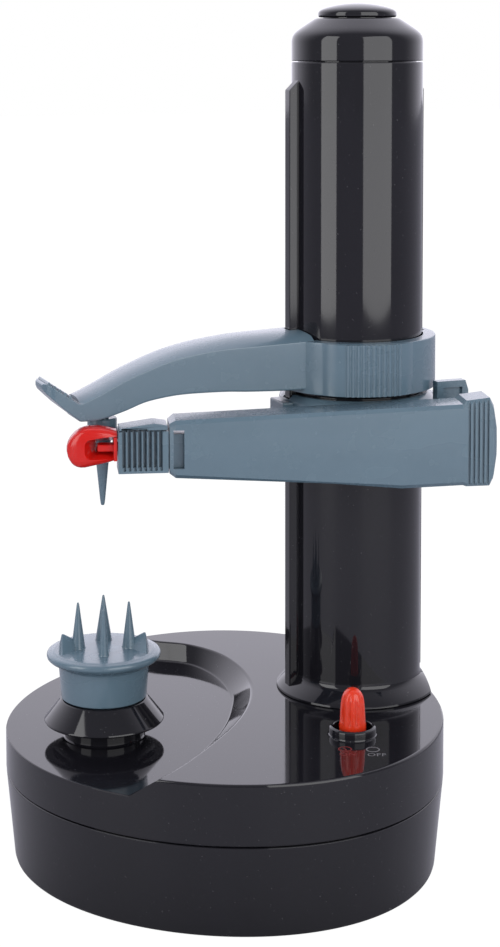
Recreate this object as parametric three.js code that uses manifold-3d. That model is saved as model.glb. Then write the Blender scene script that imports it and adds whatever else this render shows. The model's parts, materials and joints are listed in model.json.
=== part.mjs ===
// Electric potato peeler: a powered food holder, a lead-screw column that lowers a sprung
// peeling arm, and a sliding upper arm whose loose spike holds the food from above.
// Millimetres, +Z up. The model is drawn with the food holder's axis at X = 0, Y = 0 and the
// column towards +X, and the finished group is moved so that its footprint is centred.
import * as THREE from 'three';
import { mergeVertices } from 'three/addons/utils/BufferGeometryUtils.js';
import Module from 'manifold-3d';

const wasm = await Module();
wasm.setup();

// Fits
const clearance = 0.3;
const slidingFit = 0.5;
const overrun = 2;
const weldDistance = 1e-5;

// Distance between the food holder's axis and the column's axis
const columnSpacing = 90;

// Gear teeth. A tooth's tip and root are shares of the module, its corners shares of the pitch.
const gearModule = 1;
const spindleTeeth = 40;
const idlerOneTeeth = 27;
const screwTeeth = 32;
const pinionTeeth = 10;
const reductionTeeth = 30;
const toothShares = [[0.31, 0], [0.1, 1], [-0.1, 1], [-0.31, 0]];
const tipShare = 0.8;
const rootShare = 1.15;
const pitchRadius = (teeth) => (gearModule * teeth) / 2;
const tipRadius = (teeth) => pitchRadius(teeth) + tipShare * gearModule;

// Base housing. It goes round the gears of both axes, with some room at each end.
const holderEndRoom = 5.4;
const columnEndRoom = 1;
const baseHalfWidth = 77.6;
const baseEggShare = 0.09;
const footThickness = 0.7;
const shellHeight = 28.8;
const lidHeight = 19.5;
const baseWall = 2.2;
const deckThickness = 2.2;
const baseDraft = 2.6;
const baseEdgeRound = 0.9;
const footEdgeRound = 1.2;
const lipDepth = 3.2;
const lipRise = 0.9;
const lipThickness = 1.2;
const shellBottom = footThickness + clearance;
const floorTop = shellBottom + baseWall;
const partingHeight = shellBottom + shellHeight;
const baseTop = partingHeight + lidHeight;
const holderMargin = tipRadius(spindleTeeth) + baseWall + baseDraft + holderEndRoom;
const columnMargin = tipRadius(screwTeeth) + baseWall + baseDraft + columnEndRoom;
const baseHalfLength = (holderMargin + columnSpacing + columnMargin) / 2;
const baseCentreX = baseHalfLength - holderMargin;

// Tray round the food holder. Its plan points, along the wall's top edge and along its foot, are
// shares of the housing's half length and half width, from the holder's axis.
const trayDepth = 6.3;
const trayReach = 60;
const trayEdgeSteps = 32;
const trayRimShares = [
  [0.46, 1.031], [0.558, 0.907], [0.703, 0.795], [0.798, 0.624], [0.823, 0.421], [0.802, 0.227],
  [0.751, 0.067], [0.659, -0.106], [0.526, -0.286], [0.347, -0.47], [0.16, -0.638],
  [0.01, -0.751], [-0.125, -0.851],
];
const trayToeShares = [
  [0.474, 0.941], [0.565, 0.854], [0.688, 0.755], [0.744, 0.593], [0.752, 0.421], [0.717, 0.227],
  [0.645, 0.067], [0.55, -0.097], [0.436, -0.245], [0.286, -0.406], [0.104, -0.548],
  [-0.084, -0.671], [-0.223, -0.754],
];
const neckRadius = 13;
const neckHeight = 4.2;
const trayFloor = baseTop - trayDepth;
const neckTop = trayFloor + neckHeight;

// Column
const tubeRadius = 22.1;
const tubeWall = 2;
const tubeHeight = 213.4;
const flareRun = 5;
const flareRise = 5;
const innerRailHeight = 3.2;
const outerRailHeight = 1.8;
const railWidth = 4.4;
const railDrop = 4.5;
const railSlope = 4.8;
const slotWidth = 8;
const slotRise = 14.4;
const slotMargin = 6.5;
const tubeFootWidth = 7.5;
const tubeFootHeight = 6;
const columnBore = tubeRadius + slidingFit;
const tubeSeat = baseTop + clearance;
const tubeTop = tubeSeat + tubeHeight;
const railTop = tubeTop - railDrop;
const slotBottom = tubeSeat + slotRise;
const slotTop = railTop - slotMargin;
const tubeFootRadius = tubeRadius - tubeFootWidth;
const columnScrewRing = (tubeFootRadius + tubeRadius - tubeWall) / 2;

// Cap and button. The shoulder's curve is in shares of its run and rise.
const capShoulder = 7.6;
const capTopHeight = 14.2;
const capOpening = 13.7;
const capWall = 2;
const capSpigot = 6;
const capWebHeight = 2.4;
const capShares = [[0.96, 0.16], [0.83, 0.35], [0.6, 0.57], [0.36, 0.77], [0.15, 0.93]];
const buttonRadius = capOpening - slidingFit;
const buttonRise = 5;
const buttonEdge = 1.4;
const buttonTravel = 3;
const buttonLip = 1.6;
const buttonStemRadius = 3;
const buttonAngles = [0, 30, 60];
const buttonSpringWire = 0.6;
const buttonSpringRadius = 5.4;
const buttonSpringTurns = 5;

// Lead screw
const journalRadius = 3;
const screwCore = 4.2;
const threadDepth = 1.5;
const threadRoot = 0.5;
const screwLead = 5;
const threadWidth = 2.6;
const threadSteps = 8;
const threadSpare = 20;
const screwCrest = screwCore + threadDepth;

// Gear train
const gearFace = 4;
const gearHeadroom = 1.5;
const reductionAngle = 90;
const motorAngle = 143;
const axleRadius = 1.5;
const plateThickness = 2;
const plateHalfWidth = 12;
const plateLegRadius = 2.5;
const plateLegShares = [[-0.62, 0.62], [-0.62, -0.62], [0.62, 0.62], [0.62, -0.62]];
const motorRadius = 10;
const motorFlat = 7.7;
const motorLength = 22;
const motorBossRadius = 3;
const motorShaft = 1;
const motorShaftSeat = 4;
const plateTop = trayFloor - deckThickness - gearHeadroom - 2 * (gearFace + clearance);
const lowerFace = plateTop + clearance;
const upperFace = lowerFace + gearFace + clearance;

// Batteries
const cellRadius = 7.25;
const cellLength = 50;
const cellNubRadius = 2.7;
const cellNubHeight = 1;
const cellGap = 0.4;
const cellRowY = -11;
const cellCount = 4;
const boxWall = 1.2;
const boxHeight = 12;
const contactThickness = 0.5;
const contactGap = 0.8;
const doorLedge = 1.6;
const doorScrewHead = 2.4;
const cellPitch = 2 * cellRadius + cellGap;

// Small screws and feet
const screwHeadRadius = 2.6;
const screwHeadHeight = 1.8;
const screwShank = 1.3;
const baseScrewLength = 30;
const bossRadius = 3.8;
const bossRingShare = 0.8;
const bossAngles = [42, 135, 225, 318];
const footRadius = 5.5;
const footRingShare = 0.77;
const footAngle = 28;

// Food holder. The rim's curve is in shares of the rim's width.
const spindleRadius = 3;
const spindleDrop = 4.3;
const cupHeight = 15;
const cupBottomRadius = 14;
const cupTopRadius = 14.8;
const cupWall = 1.8;
const rimWidth = 3.8;
const rimShares = [[0.35, 0.25], [0.88, 0.45], [1, 0.68], [0.88, 0.9], [0.6, 1]];
const deckDrop = 0.9;
const skirtFlare = 5.6;
const skirtHeight = 7.6;
const skirtGap = 1.1;
const coneCount = 4;
const coneRing = 8.3;
const coneRadius = 2.2;
const coneHeight = 17;
const coneTip = 0.35;
const coneTurn = -16.5;
const finRoot = 2;
const finReach = 8.5;
const finHeight = 6;
const finHalfWidth = 1.8;
const finShares = [[0, 0.4, 0.05], [0.8, 0.9, 1], [1, 1, 0.12]];
const skirtBottom = neckTop + skirtGap;
const cupBottom = skirtBottom + skirtHeight + clearance;
const cupRimTop = cupBottom + cupHeight;
const cupDeck = cupRimTop - deckDrop;
const spindleTop = cupDeck - spindleDrop;
const bushRadius = spindleRadius + clearance + deckThickness;

// Switch
const switchX = 69.2;
const switchY = -44.8;
const switchTurn = -25;
const collarRadius = 7.5;
const collarWall = 1.3;
const collarHeight = 3;
const leverRadius = 4.3;
const leverTopRadius = 3.4;
const leverRise = 15.2;
const leverPivotDrop = 4;
const leverBall = 3.2;
const ballAngles = [250, 225, 200];
const domeAngles = [0, 22, 45, 68];
const switchPinRadius = 0.8;
const switchBodyLength = 16;
const switchBodyWidth = 12;
const switchBodyDepth = 10;
const switchEar = 1.2;

// Carriage that the lead screw carries
const carriageRise = 79.2;
const carriageHeight = 23.5;
const carriageWall = 3.6;
const carriageChamfer = 2;
const railCover = 1.6;
const carriageRailCover = 3.4;
const bridgeRise = 4.5;
const bridgeHeight = 14;
const nutHalfWidth = 8.6;
const nutReach = 12;
const nutRound = 13.8;
const pivotGap = 1.8;
const earWidth = 8.4;
const earThickness = 3;
const lowerEarRise = 2.9;
const upperEarDrop = 3.8;
const pinRadius = 1.7;
const lugWidth = 11.5;
const lugReach = 4.8;
const lugThickness = 3.4;
const lugTopRise = 4.8;
const lugBottomRise = 1.5;
const lugMargin = 2.2;
const lugPocketDepth = 1.2;
const carriageBottom = baseTop + carriageRise;
const carriageTop = carriageBottom + carriageHeight;
const carriageRadius = columnBore + carriageWall;
const bridgeBottom = carriageBottom + bridgeRise;
const bridgeTop = bridgeBottom + bridgeHeight;
const lowerEarBottom = carriageBottom + lowerEarRise;
const upperEarTop = carriageTop - upperEarDrop;
const lugFar = carriageRadius + lugReach;
const lugNear = lugFar - lugWidth;
const lugTop = carriageTop + lugTopRise;
const lugBottom = carriageBottom + lugBottomRise;

// Peeling arm, in its own frame: x towards the blade, y to the front
const armLean = 14.2;
const armTail = 31;
const armReach = 75;
const armHalfThickness = 6.5;
const armWall = 1.9;
const armRootDrop = 2.3;
const armRootHeight = 26.4;
const armTipRise = 5.4;
const armTipHeight = 18.4;
const armTailRise = 0.2;
const armTailHeight = 28.8;
const armBellyShare = 0.5;
const armEdge = 1.2;
const stationShares = [0, 0.12, 0.3, 0.5, 0.7, 0.88, 0.975];
const cavityShares = [0, 0.3, 0.6];
const stiffenerShares = [0.2, 0.42, 0.64];
const stiffenerThickness = 1.2;
const gripLength = 10;
const gripRibs = 5;
const gripGroove = 0.8;
const gripGrooveDepth = 0.6;
const windowWidth = 3.4;
const windowHeight = 12.4;
const windowInset = 1.2;
const springWire = 0.6;
const springRadius = 3.4;
const springTurns = 4;
const springLeg = 9;
const armRootLow = carriageBottom - armRootDrop;
const armRootHigh = armRootLow + armRootHeight;
const armTipLow = armRootLow + armTipRise;
const armTipHigh = armTipLow + armTipHeight;
const armTailLow = armRootLow + armTailRise;
const armTailHigh = armTailLow + armTailHeight;
const pivotOffset = carriageRadius + armHalfThickness + pivotGap;

// Blade cartridge. Outlines are in shares of each piece's length and height or thickness.
const blockLength = 16;
const blockHalfThickness = 5.2;
const blockHeight = 13.4;
const blockDrop = 0.9;
const blockGrooves = 8;
const blockGrooveWidth = 0.8;
const blockGrooveDepth = 1;
const grooveStartShare = 1.2;
const grooveSpareShare = 1.6;
const tongueLength = 12;
const tongueHalfThickness = 3.8;
const tongueHeight = 11;
const coverHeight = 2.2;
const coverShares = [[0, 0], [1, 0], [1, 0.3], [0.45, 0.85], [0.28, 1], [0, 0.7]];
const coverSlotShare = 0.42;
const guardLength = 16;
const guardHalfThickness = 4.6;
const guardHeight = 13.8;
const guardRise = 1.1;
const guardSpur = 4;
const guardSpurHeight = 2.2;
const guardTongue = 6.2;
const guardShares = [
  [0, -0.27], [0.16, -0.33], [0.7, -0.45], [0.87, -0.38], [0.97, -0.2], [1, -0.02],
  [0.96, 0.17], [0.85, 0.34], [0.68, 0.47], [0.45, 0.5], [0.2, 0.47], [0, 0.4],
];
const noseShares = [[0, 1], [0.6, 1], [0.88, 0.7], [1, 0.25]];
const windowLength = 10.6;
const windowTall = 6.8;
const cheekLength = 1.1;
const bladeLeg = 1;
const bladeThickness = 0.6;
const bladeWidth = 4;
const bladeSlant = 38;
const bladeSeat = 5;
const bladeOffset = 3.4;
const blockMid = (armTipLow + armTipHigh) / 2 - blockDrop;
const guardMid = blockMid + guardRise;

// Upper arm
const ringGap = 1.8;
const ringHeight = 17.5;
const ringWall = 4.1;
const padHeight = 1;
const padStart = -138;
const padEnd = -70;
const padRampShare = 0.083;
const padRibStart = -121;
const padRibEnd = -81;
const padRibs = 11;
const padRibHeight = 0.6;
const padRibShares = [[0, 0], [0.3, 1], [0.6, 1], [0.9, 0]];
const upperReach = 9.5;
const upperEndHalfWidth = 8;
const upperRootHalfWidth = 12.4;
const crestRise = 2.7;
const endTopRise = 2.4;
const undersideRise = 2.4;
const endUnderDrop = 5;
const crestShare = 0.55;
const tabReach = 10.6;
const tabRise = 5;
const tabTipRadius = 1.5;
const tabInset = 0.5;
const tabSteps = 4;
const tabStep = 0.9;
const tabStartShare = 0.35;
const ringBottom = carriageTop + ringGap;
const ringTop = ringBottom + ringHeight;
const ringRadius = columnBore + ringWall;
const upperArmTop = ringTop + crestRise;
const upperArmEndTop = ringBottom + endTopRise;
const upperUnderside = ringBottom + undersideRise;
const upperEndUnderside = ringBottom - endUnderDrop;

// Stations of the upper arm from the ring to the end: shares of the length, the width, the
// underside's fall, the side's drop below the crest, and the crest's height.
const beamShares = [
  [1, 1, 0.15, 0.14, 1],
  [0.906, 0.95, 0.15, 0.14, 1],
  [0.729, 0.82, 0.1, 0.14, 0.99],
  [0.62, 0.7, 0.03, 0.13, 0.93],
  [0.52, 0.6, 0, 0.12, 0.848],
  [0.352, 0.4, 0.16, 0.105, 0.596],
  [0.27, 0.3, 0.4, 0.1, 0.46],
  [0.186, 0.2, 0.757, 0.095, 0.32],
  [0.077, 0.1, 1, 0.09, 0.112],
  [0, 0, 0.98, 0.09, 0],
];

// Upper spike
const spikeHub = 4.8;
const spikeHubHeight = 7;
const spikeRoot = 2.8;
const spikeTip = 0.6;
const spikeLength = 22;
const spikeShaft = 2.2;
const spikeShaftLength = 4.6;

// Facet counts
const roundSides = 36;
const middleSides = 20;
const smallSides = 12;
const outlineSides = 56;
const wireSteps = 7;

// Colours
const black = '#101114';
const blueGrey = '#6f8492';
const red = '#d8261c';
const leverRed = '#d8412a';
const steel = '#b9bcc0';
const darkSteel = '#7d8085';
const white = '#e7e4da';
const brass = '#b8924f';
const rubber = '#1b1b1c';

const rad = THREE.MathUtils.degToRad;
const model = new THREE.Group();

// Shape helpers

function outward(geometry) {
  const source = geometry.index ? geometry.toNonIndexed() : geometry;
  const place = source.attributes.position;
  let volume = 0;
  const a = new THREE.Vector3();
  const b = new THREE.Vector3();
  const c = new THREE.Vector3();
  for (let i = 0; i < place.count; i += 3) {
    a.fromBufferAttribute(place, i);
    b.fromBufferAttribute(place, i + 1);
    c.fromBufferAttribute(place, i + 2);
    volume += a.dot(b.cross(c));
  }
  const plain = new THREE.BufferGeometry();
  plain.setAttribute('position', place.clone());
  const merged = mergeVertices(plain, weldDistance);
  if (volume < 0) {
    const index = merged.index.array;
    for (let i = 0; i < index.length; i += 3) {
      [index[i], index[i + 1]] = [index[i + 1], index[i]];
    }
  }
  return merged;
}

function solid(geometry) {
  const closed = outward(geometry);
  const mesh = new wasm.Mesh({
    numProp: 3,
    vertProperties: new Float32Array(closed.attributes.position.array),
    triVerts: new Uint32Array(closed.index.array),
  });
  return new wasm.Manifold(mesh);
}

function toGeometry(body) {
  const mesh = body.getMesh();
  const places = new Float32Array(mesh.vertProperties);
  const geometry = new THREE.BufferGeometry();
  geometry.setAttribute('position', new THREE.BufferAttribute(places, 3));
  geometry.setIndex(new THREE.BufferAttribute(new Uint32Array(mesh.triVerts), 1));
  return geometry;
}

function join(first, ...rest) {
  return rest.reduce((sum, piece) => sum.add(piece), first);
}

function cut(first, ...rest) {
  return rest.reduce((sum, piece) => sum.subtract(piece), first);
}

function cylinder(radius, low, high, x = 0, y = 0, sides = roundSides) {
  const geometry = new THREE.CylinderGeometry(radius, radius, high - low, sides);
  geometry.rotateX(Math.PI / 2);
  geometry.translate(x, y, (low + high) / 2);
  return solid(geometry);
}

function frustum(lowRadius, highRadius, low, high, x = 0, y = 0, sides = roundSides) {
  const geometry = new THREE.CylinderGeometry(highRadius, lowRadius, high - low, sides);
  geometry.rotateX(Math.PI / 2);
  geometry.translate(x, y, (low + high) / 2);
  return solid(geometry);
}

function block(lowX, highX, lowY, highY, lowZ, highZ) {
  const geometry = new THREE.BoxGeometry(highX - lowX, highY - lowY, highZ - lowZ);
  geometry.translate((lowX + highX) / 2, (lowY + highY) / 2, (lowZ + highZ) / 2);
  return solid(geometry);
}

// A revolved piece: the profile is a list of [radius, height].
function revolve(profile, x = 0, y = 0, sides = roundSides) {
  const points = profile.map(([radius, height]) => new THREE.Vector2(radius, height));
  const geometry = new THREE.LatheGeometry(points, sides);
  geometry.rotateX(Math.PI / 2);
  geometry.translate(x, y, 0);
  return solid(geometry);
}

function ring(inner, outer, low, high, x = 0, y = 0, sides = roundSides) {
  return cut(
    cylinder(outer, low, high, x, y, sides),
    cylinder(inner, low - overrun, high + overrun, x, y, sides),
  );
}

// A flat outline in X and Y, raised from one height to another.
function plate(points, low, high) {
  const shape = new THREE.Shape(points.map(([x, y]) => new THREE.Vector2(x, y)));
  const geometry = new THREE.ExtrudeGeometry(shape, { depth: high - low, bevelEnabled: false });
  geometry.translate(0, 0, low);
  return solid(geometry);
}

// A side view in X and Z, given a thickness along Y.
function profilePlate(points, lowY, highY) {
  const shape = new THREE.Shape(points.map(([x, z]) => new THREE.Vector2(x, z)));
  const geometry = new THREE.ExtrudeGeometry(shape, { depth: highY - lowY, bevelEnabled: false });
  geometry.rotateX(Math.PI / 2);
  geometry.translate(0, highY, 0);
  return solid(geometry);
}

// Joins rings of equally many points into one closed skin.
function loft(rings) {
  const count = rings[0].length;
  const positions = rings.flat().flatMap((point) => [point.x, point.y, point.z]);
  const index = [];
  for (let level = 0; level < rings.length - 1; level += 1) {
    for (let i = 0; i < count; i += 1) {
      const next = (i + 1) % count;
      const a = level * count + i;
      const b = level * count + next;
      index.push(a, b, b + count);
      index.push(a, b + count, a + count);
    }
  }
  for (let i = 1; i < count - 1; i += 1) {
    const top = (rings.length - 1) * count;
    index.push(0, i + 1, i);
    index.push(top, top + i, top + i + 1);
  }
  const geometry = new THREE.BufferGeometry();
  geometry.setAttribute('position', new THREE.Float32BufferAttribute(positions, 3));
  geometry.setIndex(index);
  return solid(geometry);
}

// A round wire along a list of points.
function wire(points, radius, steps) {
  const curve = new THREE.CatmullRomCurve3(points);
  const section = new THREE.Shape();
  section.absarc(0, 0, radius, 0, 2 * Math.PI);
  const geometry = new THREE.ExtrudeGeometry(section, { steps, extrudePath: curve, curveSegments: 2 });
  return solid(geometry);
}

function turned(body, degrees, x = 0, y = 0) {
  return body.translate([-x, -y, 0]).rotate([0, 0, degrees]).translate([x, y, 0]);
}

function add(name, body, colour, roughness, metalness = 0) {
  const material = new THREE.MeshStandardMaterial({ color: colour, roughness, metalness });
  const mesh = new THREE.Mesh(toGeometry(body), material);
  mesh.name = name;
  model.add(mesh);
  return mesh;
}

// Base housing

function basePoint(turn, grow, share, height) {
  const x = (baseHalfLength + grow) * Math.cos(turn);
  const y = (baseHalfWidth + grow) * Math.sin(turn) * (1 + baseEggShare * Math.cos(turn));
  return new THREE.Vector3(baseCentreX + share * x, share * y, height);
}

function baseRing(grow, height, share = 1) {
  const points = [];
  for (let i = 0; i < outlineSides; i += 1) {
    points.push(basePoint((2 * Math.PI * i) / outlineSides, grow, share, height));
  }
  return points;
}

// The outer form of the top cover, or its hollow when grown inwards and dropped.
function coverSolid(grow, bottom, drop) {
  const edge = baseEdgeRound;
  const top = baseTop - drop;
  return loft([
    baseRing(grow, bottom),
    baseRing(grow, top - edge),
    baseRing(grow - edge / 3, top - edge / 3),
    baseRing(grow - edge, top),
  ]);
}

// A point of the tray's wall between its foot and its top edge, carried on past either of them.
function trayPoint(index, height) {
  const rise = (height - trayFloor) / trayDepth;
  const [toeAlong, toeAcross] = trayToeShares[index];
  const [rimAlong, rimAcross] = trayRimShares[index];
  const along = toeAlong + rise * (rimAlong - toeAlong);
  const across = toeAcross + rise * (rimAcross - toeAcross);
  return new THREE.Vector3(along * baseHalfLength, across * baseHalfWidth, height);
}

// One level of the tray's wall, as a ring that closes beyond the housing's left side.
function trayRing(grow, height) {
  const controls = trayToeShares.map((place, i) => trayPoint(i, height));
  const edge = new THREE.CatmullRomCurve3(controls).getPoints(trayEdgeSteps);
  const moved = edge.map((point, i) => {
    const before = edge[Math.max(0, i - 1)];
    const after = edge[Math.min(edge.length - 1, i + 1)];
    const normal = new THREE.Vector3(before.y - after.y, after.x - before.x, 0).normalize();
    return point.clone().addScaledVector(normal, grow);
  });
  const far = baseCentreX - baseHalfLength - trayReach;
  const first = new THREE.Vector3(far, moved[0].y, height);
  const last = new THREE.Vector3(far, moved[moved.length - 1].y, height);
  return [first, ...moved, last];
}

function traySolid(grow, floor) {
  return loft([trayRing(grow, floor), trayRing(grow, baseTop + overrun)]);
}

function bossPlaces() {
  return bossAngles.map((angle) => {
    const x = baseCentreX + bossRingShare * baseHalfLength * Math.cos(rad(angle));
    const y = bossRingShare * baseHalfWidth * Math.sin(rad(angle));
    return [x, y];
  });
}

const bossTop = plateTop - clearance;

const boxLeft = baseCentreX - (cellCount * cellPitch) / 2 - clearance;
const boxRight = baseCentreX + (cellCount * cellPitch) / 2 + clearance;
const contactRoom = contactGap + contactThickness + clearance;
const boxFront = cellRowY - cellLength / 2 - cellNubHeight - contactRoom;
const boxBack = cellRowY + cellLength / 2 + contactRoom;
const doorScrewX = boxRight + doorLedge + doorScrewHead;
const doorScrewLow = shellBottom - screwHeadHeight / 3;
const doorScrewLength = floorTop + bossRadius - 2 * clearance;

function batteryWalls() {
  const outer = block(
    boxLeft - boxWall, boxRight + boxWall, boxFront - boxWall, boxBack + boxWall,
    shellBottom, floorTop + boxHeight,
  );
  const inner = block(
    boxLeft, boxRight, boxFront, boxBack, shellBottom - overrun, floorTop + boxHeight + overrun,
  );
  return cut(outer, inner);
}

function lowerShell() {
  const bottomGrow = -baseDraft;
  const outer = loft([
    baseRing(bottomGrow - footEdgeRound, shellBottom),
    baseRing(bottomGrow, shellBottom + footEdgeRound),
    baseRing(0, partingHeight),
  ]);
  const inner = loft([
    baseRing(bottomGrow - baseWall, floorTop),
    baseRing(-baseWall, partingHeight + overrun),
  ]);
  const bosses = bossPlaces().map(([x, y]) => cylinder(
    bossRadius, shellBottom, bossTop - clearance, x, y, smallSides,
  ));
  const shell = join(cut(outer, inner), batteryWalls(), doorScrewBoss(), ...bosses);
  return cut(
    shell, ...bossPlaces().map(bossBore),
    block(boxLeft, boxRight, boxFront, boxBack, shellBottom - overrun, floorTop + overrun),
    doorPlate(clearance, overrun),
    cylinder(
      screwShank + clearance, shellBottom, floorTop + bossRadius, doorScrewX, cellRowY, smallSides,
    ),
  );
}

function bossBore([x, y]) {
  const head = screwHeadRadius + clearance;
  return join(
    cylinder(head, shellBottom - overrun, floorTop + screwHeadHeight, x, y, smallSides),
    cylinder(screwShank + clearance, shellBottom, bossTop + overrun, x, y, smallSides),
  );
}

function doorScrewBoss() {
  const top = floorTop + bossRadius + clearance;
  return cylinder(bossRadius, shellBottom, top, doorScrewX, cellRowY, smallSides);
}

// The door lies in a rebate round the battery opening, half the floor deep.
function doorPlate(grow, extra) {
  const low = shellBottom - extra;
  const high = shellBottom + baseWall / 2 + grow;
  return block(
    boxLeft - doorLedge - grow, doorScrewX + doorScrewHead + doorLedge + grow,
    boxFront - doorLedge - grow, boxBack + doorLedge + grow, low, high,
  );
}

function batteryDoor() {
  const sheet = doorPlate(0, 0);
  const fill = block(
    boxLeft + clearance, boxRight - clearance, boxFront + clearance, boxBack - clearance,
    shellBottom, floorTop,
  );
  const ribs = [];
  for (let i = 0; i <= cellCount; i += 1) {
    const x = baseCentreX + (i - cellCount / 2) * cellPitch;
    const half = boxWall / 2;
    const low = Math.max(x - half, boxLeft + clearance);
    const high = Math.min(x + half, boxRight - clearance);
    ribs.push(block(
      low, high, boxFront + clearance, boxBack - clearance, shellBottom, floorTop + cellRadius / 4,
    ));
  }
  const seat = doorScrewLow + screwHeadHeight / 2;
  const wide = screwHeadRadius + clearance;
  const narrow = screwShank + clearance;
  return cut(
    join(sheet, fill, ...ribs),
    cylinder(wide, shellBottom - overrun, seat, doorScrewX, cellRowY, smallSides),
    frustum(wide, narrow, seat, seat + screwHeadHeight / 2, doorScrewX, cellRowY, smallSides),
    cylinder(narrow, seat, floorTop + overrun, doorScrewX, cellRowY, smallSides),
  );
}

function topCover() {
  const bottom = partingHeight + clearance;
  let inner = coverSolid(-baseWall, bottom - overrun, deckThickness);
  inner = cut(inner, traySolid(baseWall, trayFloor - deckThickness));
  let cover = cut(coverSolid(0, bottom, 0), inner);
  cover = join(cover, registerLip());
  const bosses = bossPlaces().map(([x, y]) => cylinder(
    bossRadius, bossTop, baseTop - deckThickness / 2, x, y, smallSides,
  ));
  cover = cut(join(cover, ...bosses), traySolid(0, trayFloor));
  cover = join(cover, cylinder(neckRadius, trayFloor - deckThickness, neckTop), switchCollar());
  return cut(
    cover, ...coverScrewBores(),
    cylinder(
      bushRadius + clearance, trayFloor - deckThickness - overrun, neckTop + overrun, 0, 0, smallSides,
    ),
    cylinder(tubeFootRadius - deckThickness, trayFloor, baseTop + overrun, columnSpacing, 0),
    cylinder(collarBore, trayFloor, collarTop + overrun, switchX, switchY, middleSides),
  );
}

function coverScrewBores() {
  const bore = screwShank + clearance;
  const screwTip = floorTop + baseScrewLength + 2 * clearance;
  const fromBelow = bossPlaces().map(([x, y]) => cylinder(
    bore, bossTop - overrun, screwTip, x, y, smallSides,
  ));
  const underColumn = [-1, 1].map((side) => cylinder(
    bore, trayFloor, baseTop + overrun, columnSpacing, side * columnScrewRing, smallSides,
  ));
  return [...fromBelow, ...underColumn];
}

function registerLip() {
  const low = partingHeight - lipDepth;
  const high = partingHeight + lipRise;
  const outer = loft([
    baseRing(-baseWall - 3 * clearance, low),
    baseRing(-baseWall - 2 * clearance, partingHeight),
    baseRing(-baseWall + clearance, partingHeight + clearance),
    baseRing(-baseWall + clearance, high),
  ]);
  const inner = loft([
    baseRing(-baseWall - 3 * clearance - lipThickness, low - overrun),
    baseRing(-baseWall - 2 * clearance - lipThickness, high + overrun),
  ]);
  return cut(outer, inner);
}

const collarTop = baseTop + collarHeight;
const collarBore = collarRadius - collarWall;

function switchCollar() {
  const foot = baseTop - deckThickness / 2;
  return revolve([
    [0, foot],
    [collarRadius, foot],
    [collarRadius, collarTop - collarHeight / 3],
    [collarRadius - collarHeight / 3, collarTop],
    [0, collarTop],
  ], switchX, switchY, middleSides);
}

// Column tube

function rail(side, height) {
  const half = railWidth / 2;
  const inner = tubeRadius - tubeWall;
  const points = [
    [inner, tubeSeat],
    [tubeRadius + height, tubeSeat],
    [tubeRadius + height, railTop - railSlope],
    [tubeRadius - tubeWall / 2, railTop],
    [inner, railTop],
  ].map(([x, z]) => [side * x, z]);
  return profilePlate(points, -half, half).translate([columnSpacing, 0, 0]);
}

function tubeSkin() {
  return join(
    cylinder(tubeRadius, tubeSeat, tubeTop, columnSpacing, 0),
    frustum(tubeRadius + flareRun, tubeRadius, tubeSeat, tubeSeat + flareRise, columnSpacing, 0),
    rail(-1, innerRailHeight),
    rail(1, outerRailHeight),
  );
}

// The flared foot stops at the housing's edge, where the column stands close to it.
function flareClip() {
  const high = tubeSeat + flareRise;
  const reach = 2 * tubeRadius;
  const around = block(
    columnSpacing - reach, columnSpacing + reach, -reach, reach, tubeSeat - overrun, high,
  );
  const within = loft([
    baseRing(-baseEdgeRound, tubeSeat - 2 * overrun), baseRing(-baseEdgeRound, high + overrun),
  ]);
  return cut(around, within);
}

function columnTube() {
  const footTop = tubeSeat + tubeFootHeight;
  const bore = cylinder(tubeRadius - tubeWall, tubeSeat - overrun, tubeTop + overrun, columnSpacing, 0);
  const foot = ring(tubeFootRadius, tubeRadius - tubeWall / 2, tubeSeat, footTop, columnSpacing, 0);
  const slot = block(
    columnSpacing - slotWidth / 2, columnSpacing + slotWidth / 2,
    tubeRadius / 2, tubeRadius + overrun, slotBottom, slotTop,
  );
  const holes = [-1, 1].map((side) => cylinder(
    screwShank + clearance, tubeSeat - overrun, footTop - tubeWall / 2,
    columnSpacing, side * columnScrewRing, smallSides,
  ));
  return cut(join(cut(tubeSkin(), bore), foot), slot, flareClip(), ...holes);
}

const capBase = tubeTop + clearance;
const capTop = capBase + capTopHeight;

function columnCap() {
  const spigotRadius = tubeRadius - tubeWall - clearance;
  const low = tubeTop - capSpigot;
  const shoulder = tubeTop + capShoulder;
  const run = tubeRadius - capOpening;
  const rise = capTop - shoulder;
  const curve = capShares.map(([out, up]) => [capOpening + run * out, shoulder + rise * up]);
  return revolve([
    [journalRadius + clearance, low],
    [spigotRadius, low],
    [spigotRadius, capBase],
    [tubeRadius, capBase],
    [tubeRadius, shoulder],
    ...curve,
    [capOpening + clearance, capTop],
    [capOpening, capTop],
    [capOpening, capTop - buttonTravel - buttonEdge - capWall],
    [spigotRadius - capWall, shoulder],
    [spigotRadius - capWall, webTop],
    [journalRadius + clearance, webTop],
    [journalRadius + clearance, low],
  ], columnSpacing, 0);
}

const webTop = tubeTop - capSpigot + capWebHeight;
const buttonNeckRadius = buttonRadius - buttonLip;
const buttonTop = capTop + buttonRise;
const buttonUnder = capTop - buttonEdge;

function topButton() {
  const edgeLow = capTop + clearance;
  const crown = buttonTop - edgeLow - buttonEdge;
  const dome = buttonAngles.map((angle) => {
    const a = rad(angle);
    return [buttonRadius * Math.cos(a), edgeLow + buttonEdge + crown * Math.sin(a)];
  });
  return revolve([
    [0, journalTop + buttonTravel + 2 * clearance],
    [buttonStemRadius, journalTop + buttonTravel + 2 * clearance],
    [buttonStemRadius, buttonUnder - buttonEdge],
    [buttonNeckRadius, buttonUnder - buttonEdge],
    [buttonNeckRadius, edgeLow],
    [buttonRadius, edgeLow],
    ...dome,
    [0, buttonTop],
  ], columnSpacing, 0, middleSides + smallSides);
}

const journalTop = webTop + 2 * clearance + buttonSpringWire;

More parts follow.
